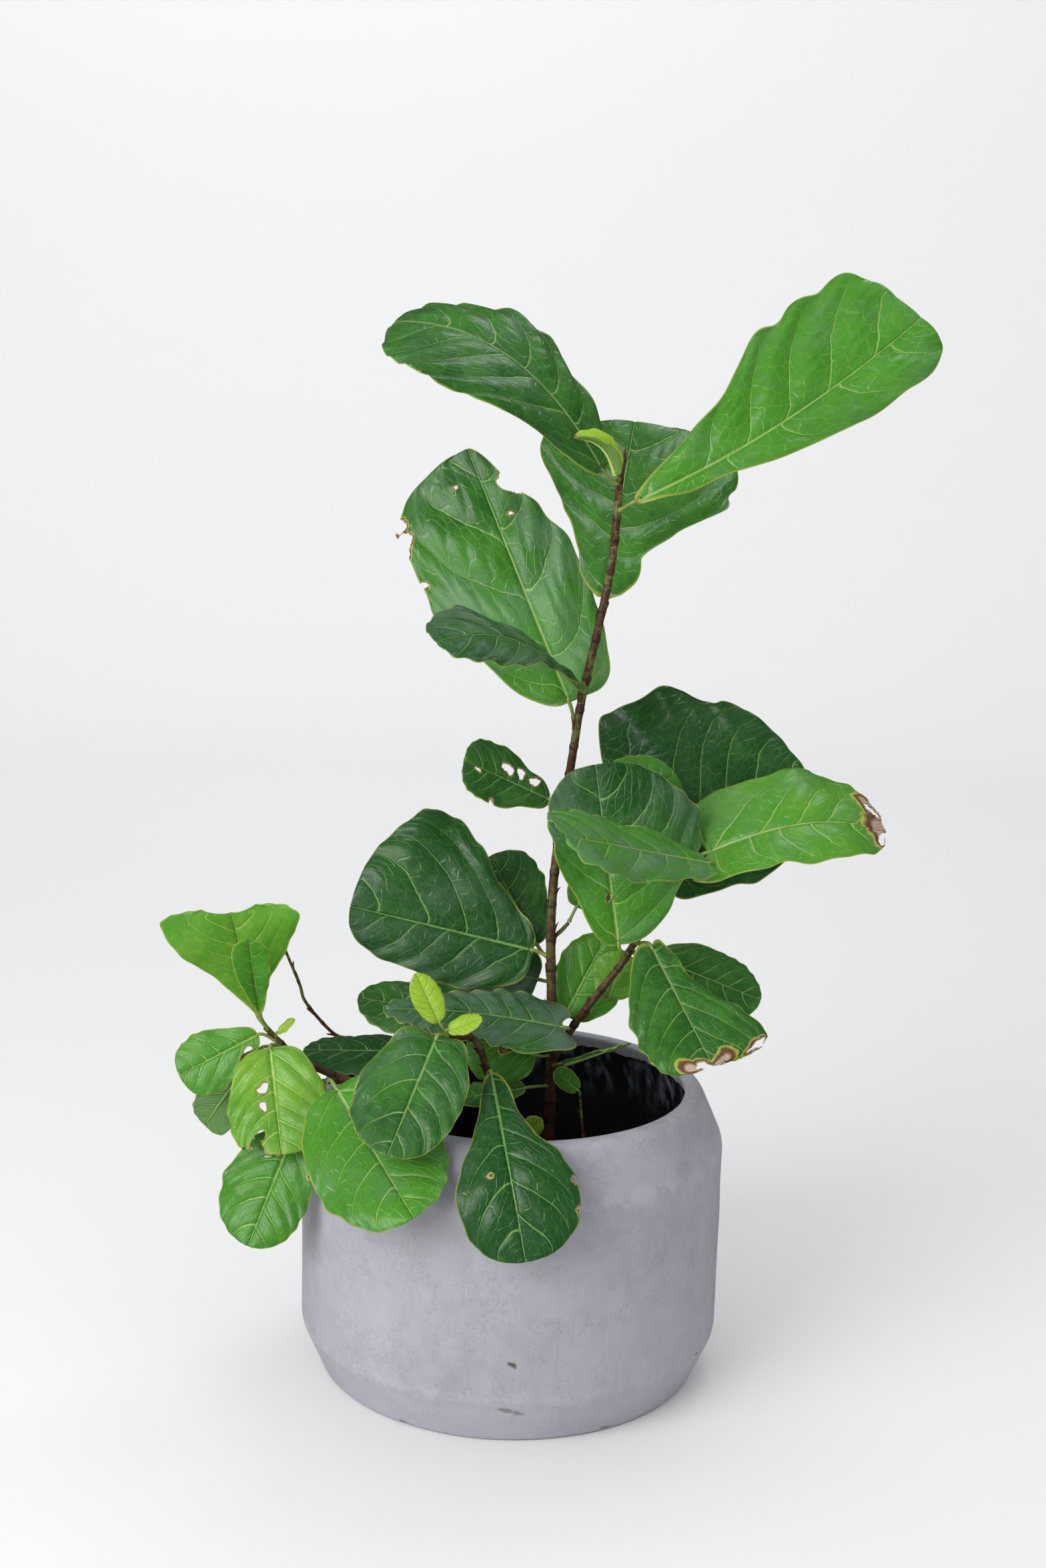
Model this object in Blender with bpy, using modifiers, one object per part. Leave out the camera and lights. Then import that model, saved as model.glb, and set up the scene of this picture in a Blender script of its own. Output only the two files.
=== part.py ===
"""Potted fiddle leaf fig: a turned planter, soil, woody stems and one solid for every leaf.

Metres, +Z up, origin at the middle of the planter's underside, the best side towards -Y.
"""
import math

import bmesh
import bpy
import numpy as np
from mathutils import Vector

gap = 0.0004            # clearance between pieces that touch

pot_radius = 0.200
pot_height = 0.275
base_radius = 0.180     # the lower edge is bevelled in to this
base_bevel = 0.045      # height of that bevel
shoulder_height = 0.226
rim_outer = 0.178
rim_inner = 0.161
wall = 0.020
pot_floor = 0.022
soil_top = 0.150
socket_depth = 0.12     # holes in the soil that the stems stand in
socket_play = 0.0012
turn_steps = 64
stem_sides = 1          # resolution of a stem's round section

petiole_radius = 0.0019
blade_thickness = 0.0012

# Woody stems: the first run carries on from the soil, the others branch off it.
# Each point is x, y, z and the radius there.
stems = {
    "main_stem": [
        [(0.036, 0.010, 0.095, 0.0075), (0.035, 0.004, 0.200, 0.0068), (0.034, 0.000, 0.290, 0.0062),
         (0.033, 0.000, 0.356, 0.0058), (0.030, 0.005, 0.437, 0.0055), (0.035, 0.010, 0.511, 0.0052),
         (0.043, 0.010, 0.571, 0.0049), (0.052, 0.010, 0.641, 0.0047), (0.064, 0.010, 0.701, 0.0046),
         (0.076, 0.010, 0.774, 0.0046), (0.080, 0.010, 0.842, 0.0040), (0.083, 0.011, 0.858, 0.0024),
         (0.084, 0.012, 0.872, 0.0008)],
        [(0.035, 0.001, 0.296, 0.0045), (0.043, -0.004, 0.312, 0.0050), (0.057, -0.003, 0.335, 0.0046),
         (0.075, -0.002, 0.361, 0.0045), (0.099, 0.000, 0.394, 0.0042), (0.119, 0.002, 0.431, 0.0042),
         (0.141, 0.004, 0.469, 0.0040), (0.156, 0.006, 0.497, 0.0036)],
        [(0.030, 0.005, 0.412, 0.0024), (0.040, 0.010, 0.420, 0.0026), (0.047, 0.014, 0.427, 0.0022)],
    ],
    "front_stem": [
        [(-0.008, -0.048, 0.095, 0.0060), (-0.012, -0.060, 0.200, 0.0054), (-0.020, -0.078, 0.285, 0.0046),
         (-0.025, -0.088, 0.313, 0.0042), (-0.035, -0.100, 0.343, 0.0038), (-0.047, -0.108, 0.351, 0.0035),
         (-0.062, -0.117, 0.354, 0.0030)],
    ],
    "left_stem": [
        [(-0.080, -0.010, 0.095, 0.0064), (-0.098, -0.016, 0.200, 0.0058), (-0.130, -0.028, 0.262, 0.0052),
         (-0.150, -0.034, 0.279, 0.0048), (-0.180, -0.036, 0.291, 0.0044), (-0.208, -0.036, 0.306, 0.0040),
         (-0.234, -0.034, 0.331, 0.0032)],
        [(-0.096, -0.015, 0.190, 0.0016), (-0.112, 0.014, 0.235, 0.0024), (-0.134, 0.052, 0.277, 0.0023),
         (-0.156, 0.064, 0.290, 0.0022), (-0.178, 0.063, 0.295, 0.0021), (-0.206, 0.060, 0.327, 0.0020),
         (-0.213, 0.058, 0.348, 0.0019), (-0.229, 0.055, 0.387, 0.0017)],
        [(-0.150, -0.034, 0.278, 0.0028), (-0.166, -0.048, 0.285, 0.0034), (-0.182, -0.058, 0.285, 0.0032),
         (-0.196, -0.066, 0.270, 0.0026)],
        [(-0.102, -0.018, 0.210, 0.0028), (-0.088, -0.004, 0.255, 0.0028), (-0.074, 0.005, 0.282, 0.0022)],
    ],
    "soil_shoot": [
        [(0.072, -0.035, 0.110, 0.0020), (0.069, -0.034, 0.200, 0.0018), (0.062, -0.028, 0.272, 0.0014)],
    ],
}

# Leaves. root is where the stalk leaves the stem, base and tip are the ends of the midrib, face is
# the way the upper side looks, half is the width to the left and right of the midrib. bow and sway
# bend the midrib up and sideways near its base and near its tip (parts of its length). fold is the
# V of the blade at base and tip, curl how far each side rolls, twist the turn of the blade, degrees.
# form is the outline: how it fills at the base, at the tip, and the depth of its waist.
broad = (0.75, 0.36, 0.10)
fiddle = (0.95, 0.36, 0.16)
rounded = (0.55, 0.45, 0.0)
wedge = (0.95, 0.24, 0.05)
bud = (0.65, 0.60, 0.0)

leaves = {
    "leaf_crown_right": dict(root=(0.079, 0.010, 0.815), base=(0.094, -0.006, 0.825), tip=(0.362, 0.050, 1.004),
                             face=(-0.15, -0.85, 0.50), half=(0.100, 0.047), sway=(0.06, 0.05),
                             curl=(0, -25), form=fiddle),
    "leaf_crown_left": dict(root=(0.079, 0.010, 0.838), base=(0.065, 0.000, 0.850), tip=(-0.128, 0.030, 0.979),
                            face=(0.2, -0.6, 0.75), half=(0.082, 0.065), bow=(0.18, 0.26), sway=(0.04, 0.04),
                            curl=(0, -20), form=fiddle),
    "leaf_crown_back": dict(root=(0.070, 0.010, 0.725), base=(0.076, 0.025, 0.737), tip=(0.101, 0.200, 0.896),
                            face=(0, -0.69, 0.73), half=(0.102, 0.092), form=(1.25, 0.22, 0.08), lobe=0.08),
    "leaf_upper_left": dict(root=(0.050, 0.010, 0.612), base=(0.041, 0.028, 0.636), tip=(-0.062, 0.100, 0.866),
                            face=(-0.1, -0.9, 0.4), half=(0.092, 0.058), form=(0.85, 0.42, 0.0),
                            form_right=(0.38, 0.66, 0.0), lobe=0.06),
    "leaf_upper_front": dict(root=(0.055, 0.004, 0.648), base=(0.050, -0.010, 0.654), tip=(-0.078, -0.120, 0.706),
                             face=(0, -0.42, 0.9), half=(0.050, 0.055), bow=(0.14, 0.22), form=broad),
    "leaf_right_back": dict(root=(0.150, 0.006, 0.484), base=(0.128, 0.065, 0.492), tip=(0.288, 0.140, 0.550),
                            face=(0.0, -0.88, 0.45), half=(0.142, 0.070), form=(0.40, 0.48, 0.0), lobe=0.14),
    "leaf_centre_upright": dict(root=(0.103, 0.001, 0.402), base=(0.093, -0.028, 0.418), tip=(0.066, -0.018, 0.585),
                                face=(0.12, -0.95, 0.3), half=(0.050, 0.098), form=broad),
    "leaf_right_front": dict(root=(0.156, 0.005, 0.488), base=(0.175, -0.022, 0.497), tip=(0.036, -0.160, 0.548),
                             face=(0.1, -0.36, 0.93), half=(0.058, 0.052), form=broad),
    "leaf_right_out": dict(root=(0.158, 0.006, 0.496), base=(0.174, 0.000, 0.502), tip=(0.341, 0.010, 0.524),
                           face=(0, -0.55, 0.8), half=(0.076, 0.044), bow=(0.15, 0.24), form=(0.6, 0.42, 0.0)),
    "leaf_centre_back": dict(root=(0.036, 0.010, 0.520), base=(0.062, 0.042, 0.506), tip=(0.145, 0.056, 0.566),
                             face=(0, -0.9, 0.4), half=(0.045, 0.045), form=rounded),
    "leaf_small_left": dict(root=(0.034, 0.010, 0.536), base=(0.025, 0.006, 0.547), tip=(-0.054, -0.030, 0.588),
                            face=(0.1, -0.8, 0.6), half=(0.030, 0.033), form=broad),
    "leaf_big_left": dict(root=(0.028, 0.004, 0.396), base=(0.014, 0.004, 0.402), tip=(-0.158, -0.006, 0.442),
                          face=(0, -0.97, 0.28), half=(0.056, 0.104), form=(0.5, 0.42, 0.0)),
    "leaf_behind_left": dict(root=(0.029, 0.004, 0.392), base=(0.018, 0.032, 0.400), tip=(-0.030, 0.085, 0.474),
                             face=(0, -0.9, 0.4), half=(0.050, 0.056), form=rounded),
    "leaf_twig": dict(root=(0.047, 0.014, 0.426), base=(0.054, 0.018, 0.442), tip=(0.082, 0.020, 0.502),
                      face=(0, -0.95, 0.3), half=(0.020, 0.040), form=rounded),
    "leaf_fork": dict(root=(0.034, 0.001, 0.324), base=(0.046, 0.008, 0.338), tip=(0.084, 0.034, 0.410),
                      face=(0, -0.9, 0.4), half=(0.030, 0.040), form=rounded),
    "leaf_branch_small": dict(root=(0.078, 0.001, 0.360), base=(0.088, 0.010, 0.356), tip=(0.100, 0.020, 0.398),
                              face=(0, -0.9, 0.3), half=(0.022, 0.024), form=rounded),
    "leaf_right_drooping": dict(root=(0.112, -0.004, 0.412), base=(0.124, -0.025, 0.416), tip=(0.176, -0.120, 0.334),
                                face=(0.1, -0.75, 0.65), half=(0.062, 0.050), form=wedge, lobe=0.14),
    "leaf_right_low": dict(root=(0.106, 0.002, 0.404), base=(0.134, 0.012, 0.395), tip=(0.232, 0.010, 0.358),
                           face=(0, -0.7, 0.7), half=(0.034, 0.036), form=rounded),
    "leaf_under_branch": dict(root=(0.040, -0.005, 0.290), base=(0.046, -0.020, 0.300), tip=(0.104, -0.060, 0.334),
                              face=(0, 0.2, 0.95), half=(0.014, 0.014), form=rounded),
    "leaf_shoot": dict(root=(0.061, -0.030, 0.272), base=(0.060, -0.034, 0.278), tip=(0.038, -0.042, 0.300),
                       face=(0, -0.9, 0.4), half=(0.013, 0.013), form=rounded),
    "leaf_wide_front": dict(root=(0.034, 0.000, 0.330), base=(0.043, -0.050, 0.344), tip=(-0.121, -0.076, 0.364),
                            face=(0, -0.35, 0.93), half=(0.032, 0.050), bow=(0.04, 0.06),
                            form=(0.5, 0.42, 0.0), lobe=0.28),
    "leaf_left_back": dict(root=(0.030, 0.001, 0.335), base=(-0.010, 0.012, 0.328), tip=(-0.148, 0.020, 0.356),
                           face=(0, -0.6, 0.8), half=(0.030, 0.034), form=rounded),
    "leaf_shaded_back": dict(root=(0.030, 0.003, 0.372), base=(0.020, 0.045, 0.362), tip=(-0.100, 0.100, 0.390),
                             face=(0, -0.8, 0.55), half=(0.026, 0.045), form=rounded),
    "leaf_dark_left": dict(root=(-0.074, 0.005, 0.280), base=(-0.078, 0.014, 0.296), tip=(-0.204, 0.022, 0.292),
                           face=(0, -0.21, 0.98), half=(0.044, 0.034), form=rounded),
    "leaf_under_wide": dict(root=(0.034, 0.000, 0.300), base=(0.020, -0.022, 0.307), tip=(-0.045, -0.022, 0.322),
                            face=(0, -0.9, 0.4), half=(0.036, 0.018), form=rounded),
    "leaf_front_glossy": dict(root=(-0.060, -0.116, 0.350), base=(-0.070, -0.130, 0.356), tip=(-0.106, -0.216, 0.278),
                              face=(-0.1, -0.85, 0.5), half=(0.051, 0.051), form=rounded, lobe=0.12),
    "leaf_in_pot": dict(root=(0.034, 0.000, 0.270), base=(0.010, -0.026, 0.276), tip=(-0.058, -0.034, 0.266),
                        face=(0, -0.3, 0.9), half=(0.016, 0.020), form=rounded),
    "leaf_front_hanging": dict(root=(-0.024, -0.088, 0.310), base=(-0.021, -0.110, 0.318), tip=(0.014, -0.240, 0.196),
                               face=(0, -0.9, 0.4), half=(0.054, 0.047), bow=(0.16, 0.26), form=fiddle),
    "leaf_far_left_top": dict(root=(-0.228, -0.035, 0.326), base=(-0.242, -0.030, 0.342), tip=(-0.268, -0.060, 0.440),
                              face=(-0.1, -1.0, 0.0), half=(0.066, 0.064), fold=(30, 25), form=(1.5, 0.14, 0.0),
                              notch=0.14),
    "leaf_far_left_young": dict(root=(-0.230, -0.035, 0.328), base=(-0.236, -0.052, 0.338), tip=(-0.241, -0.095, 0.412),
                                face=(0, -0.9, 0.3), half=(0.016, 0.016), form=bud),
    "leaf_far_left_bud": dict(root=(-0.224, -0.035, 0.320), base=(-0.221, -0.044, 0.330), tip=(-0.208, -0.052, 0.341),
                              face=(0, -0.5, 0.9), half=(0.006, 0.006), form=bud),
    "leaf_far_left_side": dict(root=(-0.222, -0.035, 0.316), base=(-0.240, -0.040, 0.325), tip=(-0.311, -0.052, 0.288),
                               face=(0, -0.9, 0.4), half=(0.031, 0.028), form=broad),
    "leaf_far_left_holes": dict(root=(-0.216, -0.035, 0.310), base=(-0.226, -0.058, 0.318), tip=(-0.208, -0.112, 0.236),
                                face=(0, -0.9, 0.4), half=(0.047, 0.041), form=rounded),
    "leaf_far_left_back": dict(root=(-0.214, -0.034, 0.310), base=(-0.242, -0.020, 0.303), tip=(-0.290, -0.020, 0.238),
                               face=(0.6, 0.75, 0.1), half=(0.022, 0.022), form=broad),
    "leaf_left_low": dict(root=(-0.195, -0.066, 0.270), base=(-0.202, -0.084, 0.244), tip=(-0.237, -0.122, 0.152),
                          face=(-0.2, -0.9, 0.3), half=(0.038, 0.047), form=rounded),
    "leaf_front_low": dict(root=(-0.175, -0.054, 0.284), base=(-0.160, -0.110, 0.300), tip=(-0.082, -0.232, 0.230),
                           face=(0, -0.8, 0.5), half=(0.058, 0.061), form=rounded),
    "leaf_front_bud": dict(root=(-0.060, -0.116, 0.352), base=(-0.068, -0.122, 0.368), tip=(-0.090, -0.120, 0.411),
                           face=(0.2, -0.9, 0.3), half=(0.014, 0.014), form=bud),
    "leaf_front_small": dict(root=(-0.054, -0.112, 0.352), base=(-0.060, -0.128, 0.363), tip=(-0.030, -0.135, 0.376),
                             face=(0, -0.6, 0.8), half=(0.011, 0.011), form=bud),
    "leaf_pot_shoot": dict(root=(-0.010, -0.056, 0.205), base=(0.010, -0.066, 0.245), tip=(0.026, -0.072, 0.262),
                           face=(0, -0.9, 0.4), half=(0.010, 0.010), form=bud),
    "leaf_apex_young": dict(root=(0.080, 0.010, 0.843), base=(0.076, -0.008, 0.848), tip=(0.036, -0.025, 0.880),
                            face=(0.2, -0.5, 0.8), half=(0.016, 0.016), form=bud),
}

small_leaf = 0.09       # shorter blades than this get fewer rows
young_leaves = ("leaf_branch_small", "leaf_far_left_young", "leaf_far_left_bud", "leaf_front_bud",
                "leaf_front_small", "leaf_apex_young")


def unit(vector):
    return vector / np.linalg.norm(vector)


def outline(form, v):
    """Half width at v along the midrib, as a part of the widest."""
    fill, blunt, waist = form
    steps = np.linspace(0.0, 1.0, 101)

    def width(t):
        dip = 1.0 - waist * np.exp(-(((t - 0.30) / 0.14) ** 2))
        return t ** fill * (1.0 - t) ** blunt * dip

    return width(v) / width(steps).max()


def midrib(spec, v):
    """Points of the midrib and the frame there: along it, to its right and out of its upper side."""
    base, tip = np.array(spec["base"]), np.array(spec["tip"])
    length = np.linalg.norm(tip - base)
    along = (tip - base) / length
    face = np.array(spec["face"], float)
    up = unit(face - along * face.dot(along))
    side = np.cross(along, up)
    near, far = 3 * (1 - v) ** 2 * v, 3 * (1 - v) * v ** 2
    slope_near, slope_far = 3 * (1 - v) * (1 - 3 * v), 3 * v * (2 - 3 * v)
    bow, sway = spec.get("bow", (0, 0)), spec.get("sway", (0, 0))
    point = base + length * (np.outer(v, along) + np.outer(near * bow[0] + far * bow[1], up)
                             + np.outer(near * sway[0] + far * sway[1], side))
    run = (along + np.outer(slope_near * bow[0] + slope_far * bow[1], up)
           + np.outer(slope_near * sway[0] + slope_far * sway[1], side))
    run /= np.linalg.norm(run, axis=1)[:, None]
    normal = up - run * (run @ up)[:, None]
    normal /= np.linalg.norm(normal, axis=1)[:, None]
    right = np.cross(run, normal)
    twist = spec.get("twist", (0, 0))
    turn = np.radians(twist[0] + (twist[1] - twist[0]) * v)[:, None]
    return point, run, right * np.cos(turn) + normal * np.sin(turn), normal * np.cos(turn) - right * np.sin(turn)


def blade(spec, u, v):
    """Points of the middle surface at u (-1 left edge, 1 right edge) and v (0 base, 1 tip)."""
    point, run, right, normal = midrib(spec, v)
    length = np.linalg.norm(np.array(spec["tip"]) - np.array(spec["base"]))
    out = np.abs(u)
    half = np.where(u < 0, spec["half"][0], spec["half"][1])
    form = spec.get("form", broad)
    share = np.where(u < 0, outline(form, v), outline(spec.get("form_right", form), v))
    width = np.maximum(half * share, petiole_radius)
    fold = np.radians(spec.get("fold", (8, 0))[0] * (1 - v) + spec.get("fold", (8, 0))[1] * v)
    curl = spec.get("curl", (-15, -15))
    roll = np.radians(np.where(u < 0, curl[0], curl[1])) + 1e-4
    across = width * (np.sin(fold + roll * out) - np.sin(fold)) / roll
    lift = width * (np.cos(fold) - np.cos(fold + roll * out)) / roll
    wave = spec.get("wave", 0.05) * np.minimum(half, width) * out ** 2
    lift = lift + wave * np.sin(2 * math.pi * (spec.get("waves", 2.5) * v + 0.25 * np.sign(u)) + length * 40)
    lobe_run = v / 0.13
    back = spec.get("lobe", 0.06) * length * out ** 2 * lobe_run * np.exp(1 - lobe_run)
    notch = spec.get("notch", 0.0) * length * out ** 2 * v ** 6
    return (point + right * (np.sign(u) * across)[:, None] + normal * lift[:, None]
            + run * (notch - back)[:, None])


def stalk_start(root, base):
    """Where a stalk that runs from the nearest stem to base clears the bark."""
    nearest = None
    for runs in stems.values():
        for run in runs:
            line = np.array(smooth_run(run))
            for a, b in zip(line[:-1], line[1:]):
                span = b[:3] - a[:3]
                part = np.clip((root - a[:3]).dot(span) / span.dot(span), 0.0, 1.0)
                axis_point = a + (b - a) * part
                away = np.linalg.norm(root - axis_point[:3])
                if nearest is None or away < nearest[0]:
                    nearest = (away, axis_point, unit(span))
    away, axis_point, axis = nearest
    heading = unit(base - axis_point[:3])
    lean = abs(heading.dot(axis))
    clear = axis_point[3] + 2 * gap + petiole_radius * lean
    return axis_point[:3] + heading * (clear / math.sqrt(1.0 - min(lean, 0.9) ** 2) + gap)


def stalk(spec, u, t):
    """Points of the flat middle of the stalk, from the stem (t = 0) to the blade (t = 1)."""
    point, run, right, normal = midrib(spec, np.zeros(1))
    base = point[0]
    root = stalk_start(np.array(spec["root"]), base)
    reach = np.linalg.norm(base - root)
    a, b = root + (base - root) * 0.35, base - run[0] * reach * 0.35
    curve = (np.outer((1 - t) ** 3, root) + np.outer(3 * (1 - t) ** 2 * t, a)
             + np.outer(3 * (1 - t) * t ** 2, b) + np.outer(t ** 3, base))
    return curve + np.outer(u * petiole_radius, right[0])


def material(name, colour, roughness, metallic=0.0):
    made = bpy.data.materials.new(name)
    made.use_nodes = True
    shader = made.node_tree.nodes["Principled BSDF"]
    shader.inputs["Base Color"].default_value = (*colour, 1.0)
    shader.inputs["Roughness"].default_value = roughness
    shader.inputs["Metallic"].default_value = metallic
    return made


def link(item, place, surface):
    place.objects.link(item)
    item.data.materials.append(surface)
    return item


def leaf_object(name, spec, place, surface):
    """A grid bent into stalk and blade, thickened by Solidify."""
    length = np.linalg.norm(np.array(spec["tip"]) - np.array(spec["base"]))
    stalk_rows = 2
    rows = 9 if length > small_leaf else 6
    columns = 4
    sheet = bmesh.new()
    bmesh.ops.create_grid(sheet, x_segments=columns, y_segments=rows + stalk_rows, size=1.0)
    sheet.verts.ensure_lookup_table()
    flat = np.array([point.co for point in sheet.verts])
    u = flat[:, 0]
    row = (flat[:, 1] + 1.0) / 2.0 * (rows + stalk_rows)
    t = np.clip(row / stalk_rows, 0.0, 1.0)
    v = (1.0 - np.cos(math.pi * np.clip((row - stalk_rows) / rows, 0.0, 1.0))) / 2.0
    tip_row = row > rows + stalk_rows - 0.5
    v = np.where(tip_row, 0.998, v)
    on_stalk = (row < stalk_rows - 0.5)[:, None]
    places = np.where(on_stalk, stalk(spec, u, t), blade(spec, u, v))
    for point, spot in zip(sheet.verts, places):
        point.co = Vector(spot)
    mesh = bpy.data.meshes.new(name)
    sheet.to_mesh(mesh)
    sheet.free()
    made = link(bpy.data.objects.new(name, mesh), place, surface)
    # round stalk, thin blade
    weight = made.vertex_groups.new(name="thickness")
    blade_share = blade_thickness / (2 * petiole_radius)
    for index in range(len(u)):
        round_share = max(0.25, math.sqrt(max(0.0, 1.0 - u[index] ** 2)))
        fade = min(1.0, v[index] / 0.25)
        weight.add([index], round_share * (1.0 - fade) + blade_share * fade, "REPLACE")
    thick = made.modifiers.new("thickness", "SOLIDIFY")
    thick.thickness = 2 * petiole_radius
    thick.offset = 0.0
    thick.vertex_group = "thickness"
    mesh.shade_smooth()
    return made


def turned(name, profile, place, surface):
    """A solid of revolution about Z from a profile of (radius, height)."""
    mesh = bpy.data.meshes.new(name)
    edges = [(i, i + 1) for i in range(len(profile) - 1)]
    mesh.from_pydata([(r, 0.0, z) for r, z in profile], edges, [])
    made = link(bpy.data.objects.new(name, mesh), place, surface)
    turn = made.modifiers.new("turn", "SCREW")
    turn.axis = "Z"
    turn.steps = turn_steps
    turn.render_steps = turn_steps
    turn.use_merge_vertices = True
    turn.merge_threshold = 0.00005
    turn.use_normal_calculate = False
    return made


def rounded_corner(before, corner, after, radius, steps):
    """Points of the arc that eases a corner of a profile."""
    start, end = (Vector(before) - Vector(corner)).normalized(), (Vector(after) - Vector(corner)).normalized()
    first, last = Vector(corner) + start * radius, Vector(corner) + end * radius
    points = []
    for step in range(steps + 1):
        t = step / steps
        points.append(tuple(first.lerp(Vector(corner), t).lerp(Vector(corner).lerp(last, t), t)))
    return points


def eased(corners, radii, steps):
    """A profile whose inner corners are eased by the given radii."""
    points = [corners[0]]
    for index in range(1, len(corners) - 1):
        radius = radii[index - 1]
        if radius:
            points += rounded_corner(corners[index - 1], corners[index], corners[index + 1], radius, steps)
        else:
            points.append(corners[index])
    points.append(corners[-1])
    return points


def stem_runs(name, runs, place, surface, sides):
    """Stems as tapered tubes, joined into one body where they branch."""
    solids = []
    for number, run in enumerate(runs):
        curve = bpy.data.curves.new(name + "_line", "CURVE")
        curve.dimensions = "3D"
        curve.bevel_depth = 1.0
        curve.bevel_resolution = sides
        curve.use_fill_caps = True
        line = curve.splines.new("POLY")
        points = smooth_run(run)
        line.points.add(len(points) - 1)
        for point, (x, y, z, radius) in zip(line.points, points):
            point.co = (x, y, z, 1.0)
            point.radius = radius
        tube = bpy.data.objects.new(name + "_line", curve)
        place.objects.link(tube)
        bpy.context.view_layer.update()
        seen = tube.evaluated_get(bpy.context.evaluated_depsgraph_get())
        mesh = bpy.data.meshes.new_from_object(seen)
        weld = bmesh.new()
        weld.from_mesh(mesh)
        bmesh.ops.remove_doubles(weld, verts=weld.verts, dist=0.00002)
        bmesh.ops.recalc_face_normals(weld, faces=weld.faces)
        weld.to_mesh(mesh)
        weld.free()
        solid = bpy.data.objects.new(name if number == 0 else name + "_branch", mesh)
        solid.matrix_world = tube.matrix_world
        bpy.data.objects.remove(tube)
        solids.append(solid)
    trunk = link(solids[0], place, surface)
    for number, branch in enumerate(solids[1:]):
        guides.objects.link(branch)
        branch.hide_render = True
        branch.display_type = "WIRE"
        join = trunk.modifiers.new(f"join_{number}", "BOOLEAN")
        join.operation = "UNION"
        join.object = branch
    return trunk


def smooth_run(run, parts=2):
    """A smooth line through the run's points, with a few points between each pair."""
    path = [Vector(point) for point in run]
    ends = [path[0] * 2 - path[1]] + path + [path[-1] * 2 - path[-2]]
    points = []
    for index in range(1, len(ends) - 2):
        a, b, c, d = ends[index - 1:index + 3]
        for step in range(parts):
            t = step / parts
            points.append(0.5 * ((2 * b) + (c - a) * t + (2 * a - 5 * b + 4 * c - d) * t * t
                                 + (3 * b - a - 3 * c + d) * t ** 3))
    points.append(path[-1])
    return [tuple(point) for point in points]


for item in list(bpy.data.objects):
    bpy.data.objects.remove(item, do_unlink=True)

parts = bpy.data.collections.new("potted_fiddle_leaf_fig")
guides = bpy.data.collections.new("cutters")
bpy.context.scene.collection.children.link(parts)
bpy.context.scene.collection.children.link(guides)

concrete = material("concrete", (0.36, 0.35, 0.39), 0.75)
earth = material("earth", (0.035, 0.024, 0.018), 0.95)
bark = material("bark", (0.10, 0.055, 0.035), 0.65)
leaf_green = material("leaf_green", (0.035, 0.11, 0.025), 0.38)
young_green = material("young_green", (0.20, 0.40, 0.03), 0.40)

# planter
shoulder_in = wall * 1.1
corners = [
    (0.0, pot_floor), (pot_radius - shoulder_in, pot_floor), (pot_radius - shoulder_in, shoulder_height - 0.006),
    (rim_inner, pot_height), (rim_outer, pot_height), (pot_radius, shoulder_height),
    (pot_radius, base_bevel), (base_radius, 0.0), (0.0, 0.0),
]
profile = eased(corners, [0.015, 0.018, 0.005, 0.007, 0.014, 0.010, 0.005], 3)
turned("pot", profile, parts, concrete)

# soil, with a socket for every stem
soil_radius = pot_radius - shoulder_in - gap
soil_corners = [(0.0, soil_top + 0.006), (0.060, soil_top + 0.005), (0.120, soil_top + 0.001),
                (soil_radius, soil_top - 0.004), (soil_radius, pot_floor + 0.016),
                (soil_radius - 0.016, pot_floor + gap), (0.0, pot_floor + gap)]
soil = turned("soil", soil_corners, parts, earth)

for name, runs in stems.items():
    stem_runs(name, runs, parts, bark, stem_sides)
    bottom, above = Vector(runs[0][0][:3]), Vector(runs[0][1][:3])
    lean = (above - bottom).normalized()
    radius = runs[0][0][3] + socket_play
    bpy.ops.mesh.primitive_cylinder_add(vertices=12, radius=radius, depth=socket_depth,
                                        location=bottom + lean * (socket_depth / 2 - 0.002))
    socket = bpy.context.object
    socket.name = "socket_" + name
    socket.rotation_euler = lean.to_track_quat("Z", "Y").to_euler()
    socket.hide_render = True
    socket.display_type = "WIRE"
    for place in list(socket.users_collection):
        place.objects.unlink(socket)
    guides.objects.link(socket)
    cut = soil.modifiers.new("cut_" + name, "BOOLEAN")
    cut.operation = "DIFFERENCE"
    cut.object = socket

for name, spec in leaves.items():
    leaf_object(name, spec, parts, young_green if name in young_leaves else leaf_green)

bpy.context.view_layer.update()
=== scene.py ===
import math

import bmesh
import bpy
import numpy as np
from mathutils import Matrix, Vector, noise


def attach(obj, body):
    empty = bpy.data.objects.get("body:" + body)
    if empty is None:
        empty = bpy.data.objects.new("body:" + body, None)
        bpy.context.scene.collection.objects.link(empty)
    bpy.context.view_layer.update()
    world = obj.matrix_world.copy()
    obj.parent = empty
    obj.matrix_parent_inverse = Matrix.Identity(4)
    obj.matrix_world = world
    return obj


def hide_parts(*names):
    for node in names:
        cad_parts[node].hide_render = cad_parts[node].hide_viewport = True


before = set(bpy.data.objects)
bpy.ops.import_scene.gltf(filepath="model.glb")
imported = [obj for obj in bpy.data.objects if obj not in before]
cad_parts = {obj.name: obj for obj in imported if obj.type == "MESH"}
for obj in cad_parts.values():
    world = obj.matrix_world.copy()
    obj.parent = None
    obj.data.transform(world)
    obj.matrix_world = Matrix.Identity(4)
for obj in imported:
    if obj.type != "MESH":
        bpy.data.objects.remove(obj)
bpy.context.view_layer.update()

viewer = {
    "place": (0.0, -1.827, 0.894),
    "lens": 45.9,
    "sensor": 36.0,
    "pitchDown": 10.3,   # degrees below level
    "roll": 1.65,
}

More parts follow.
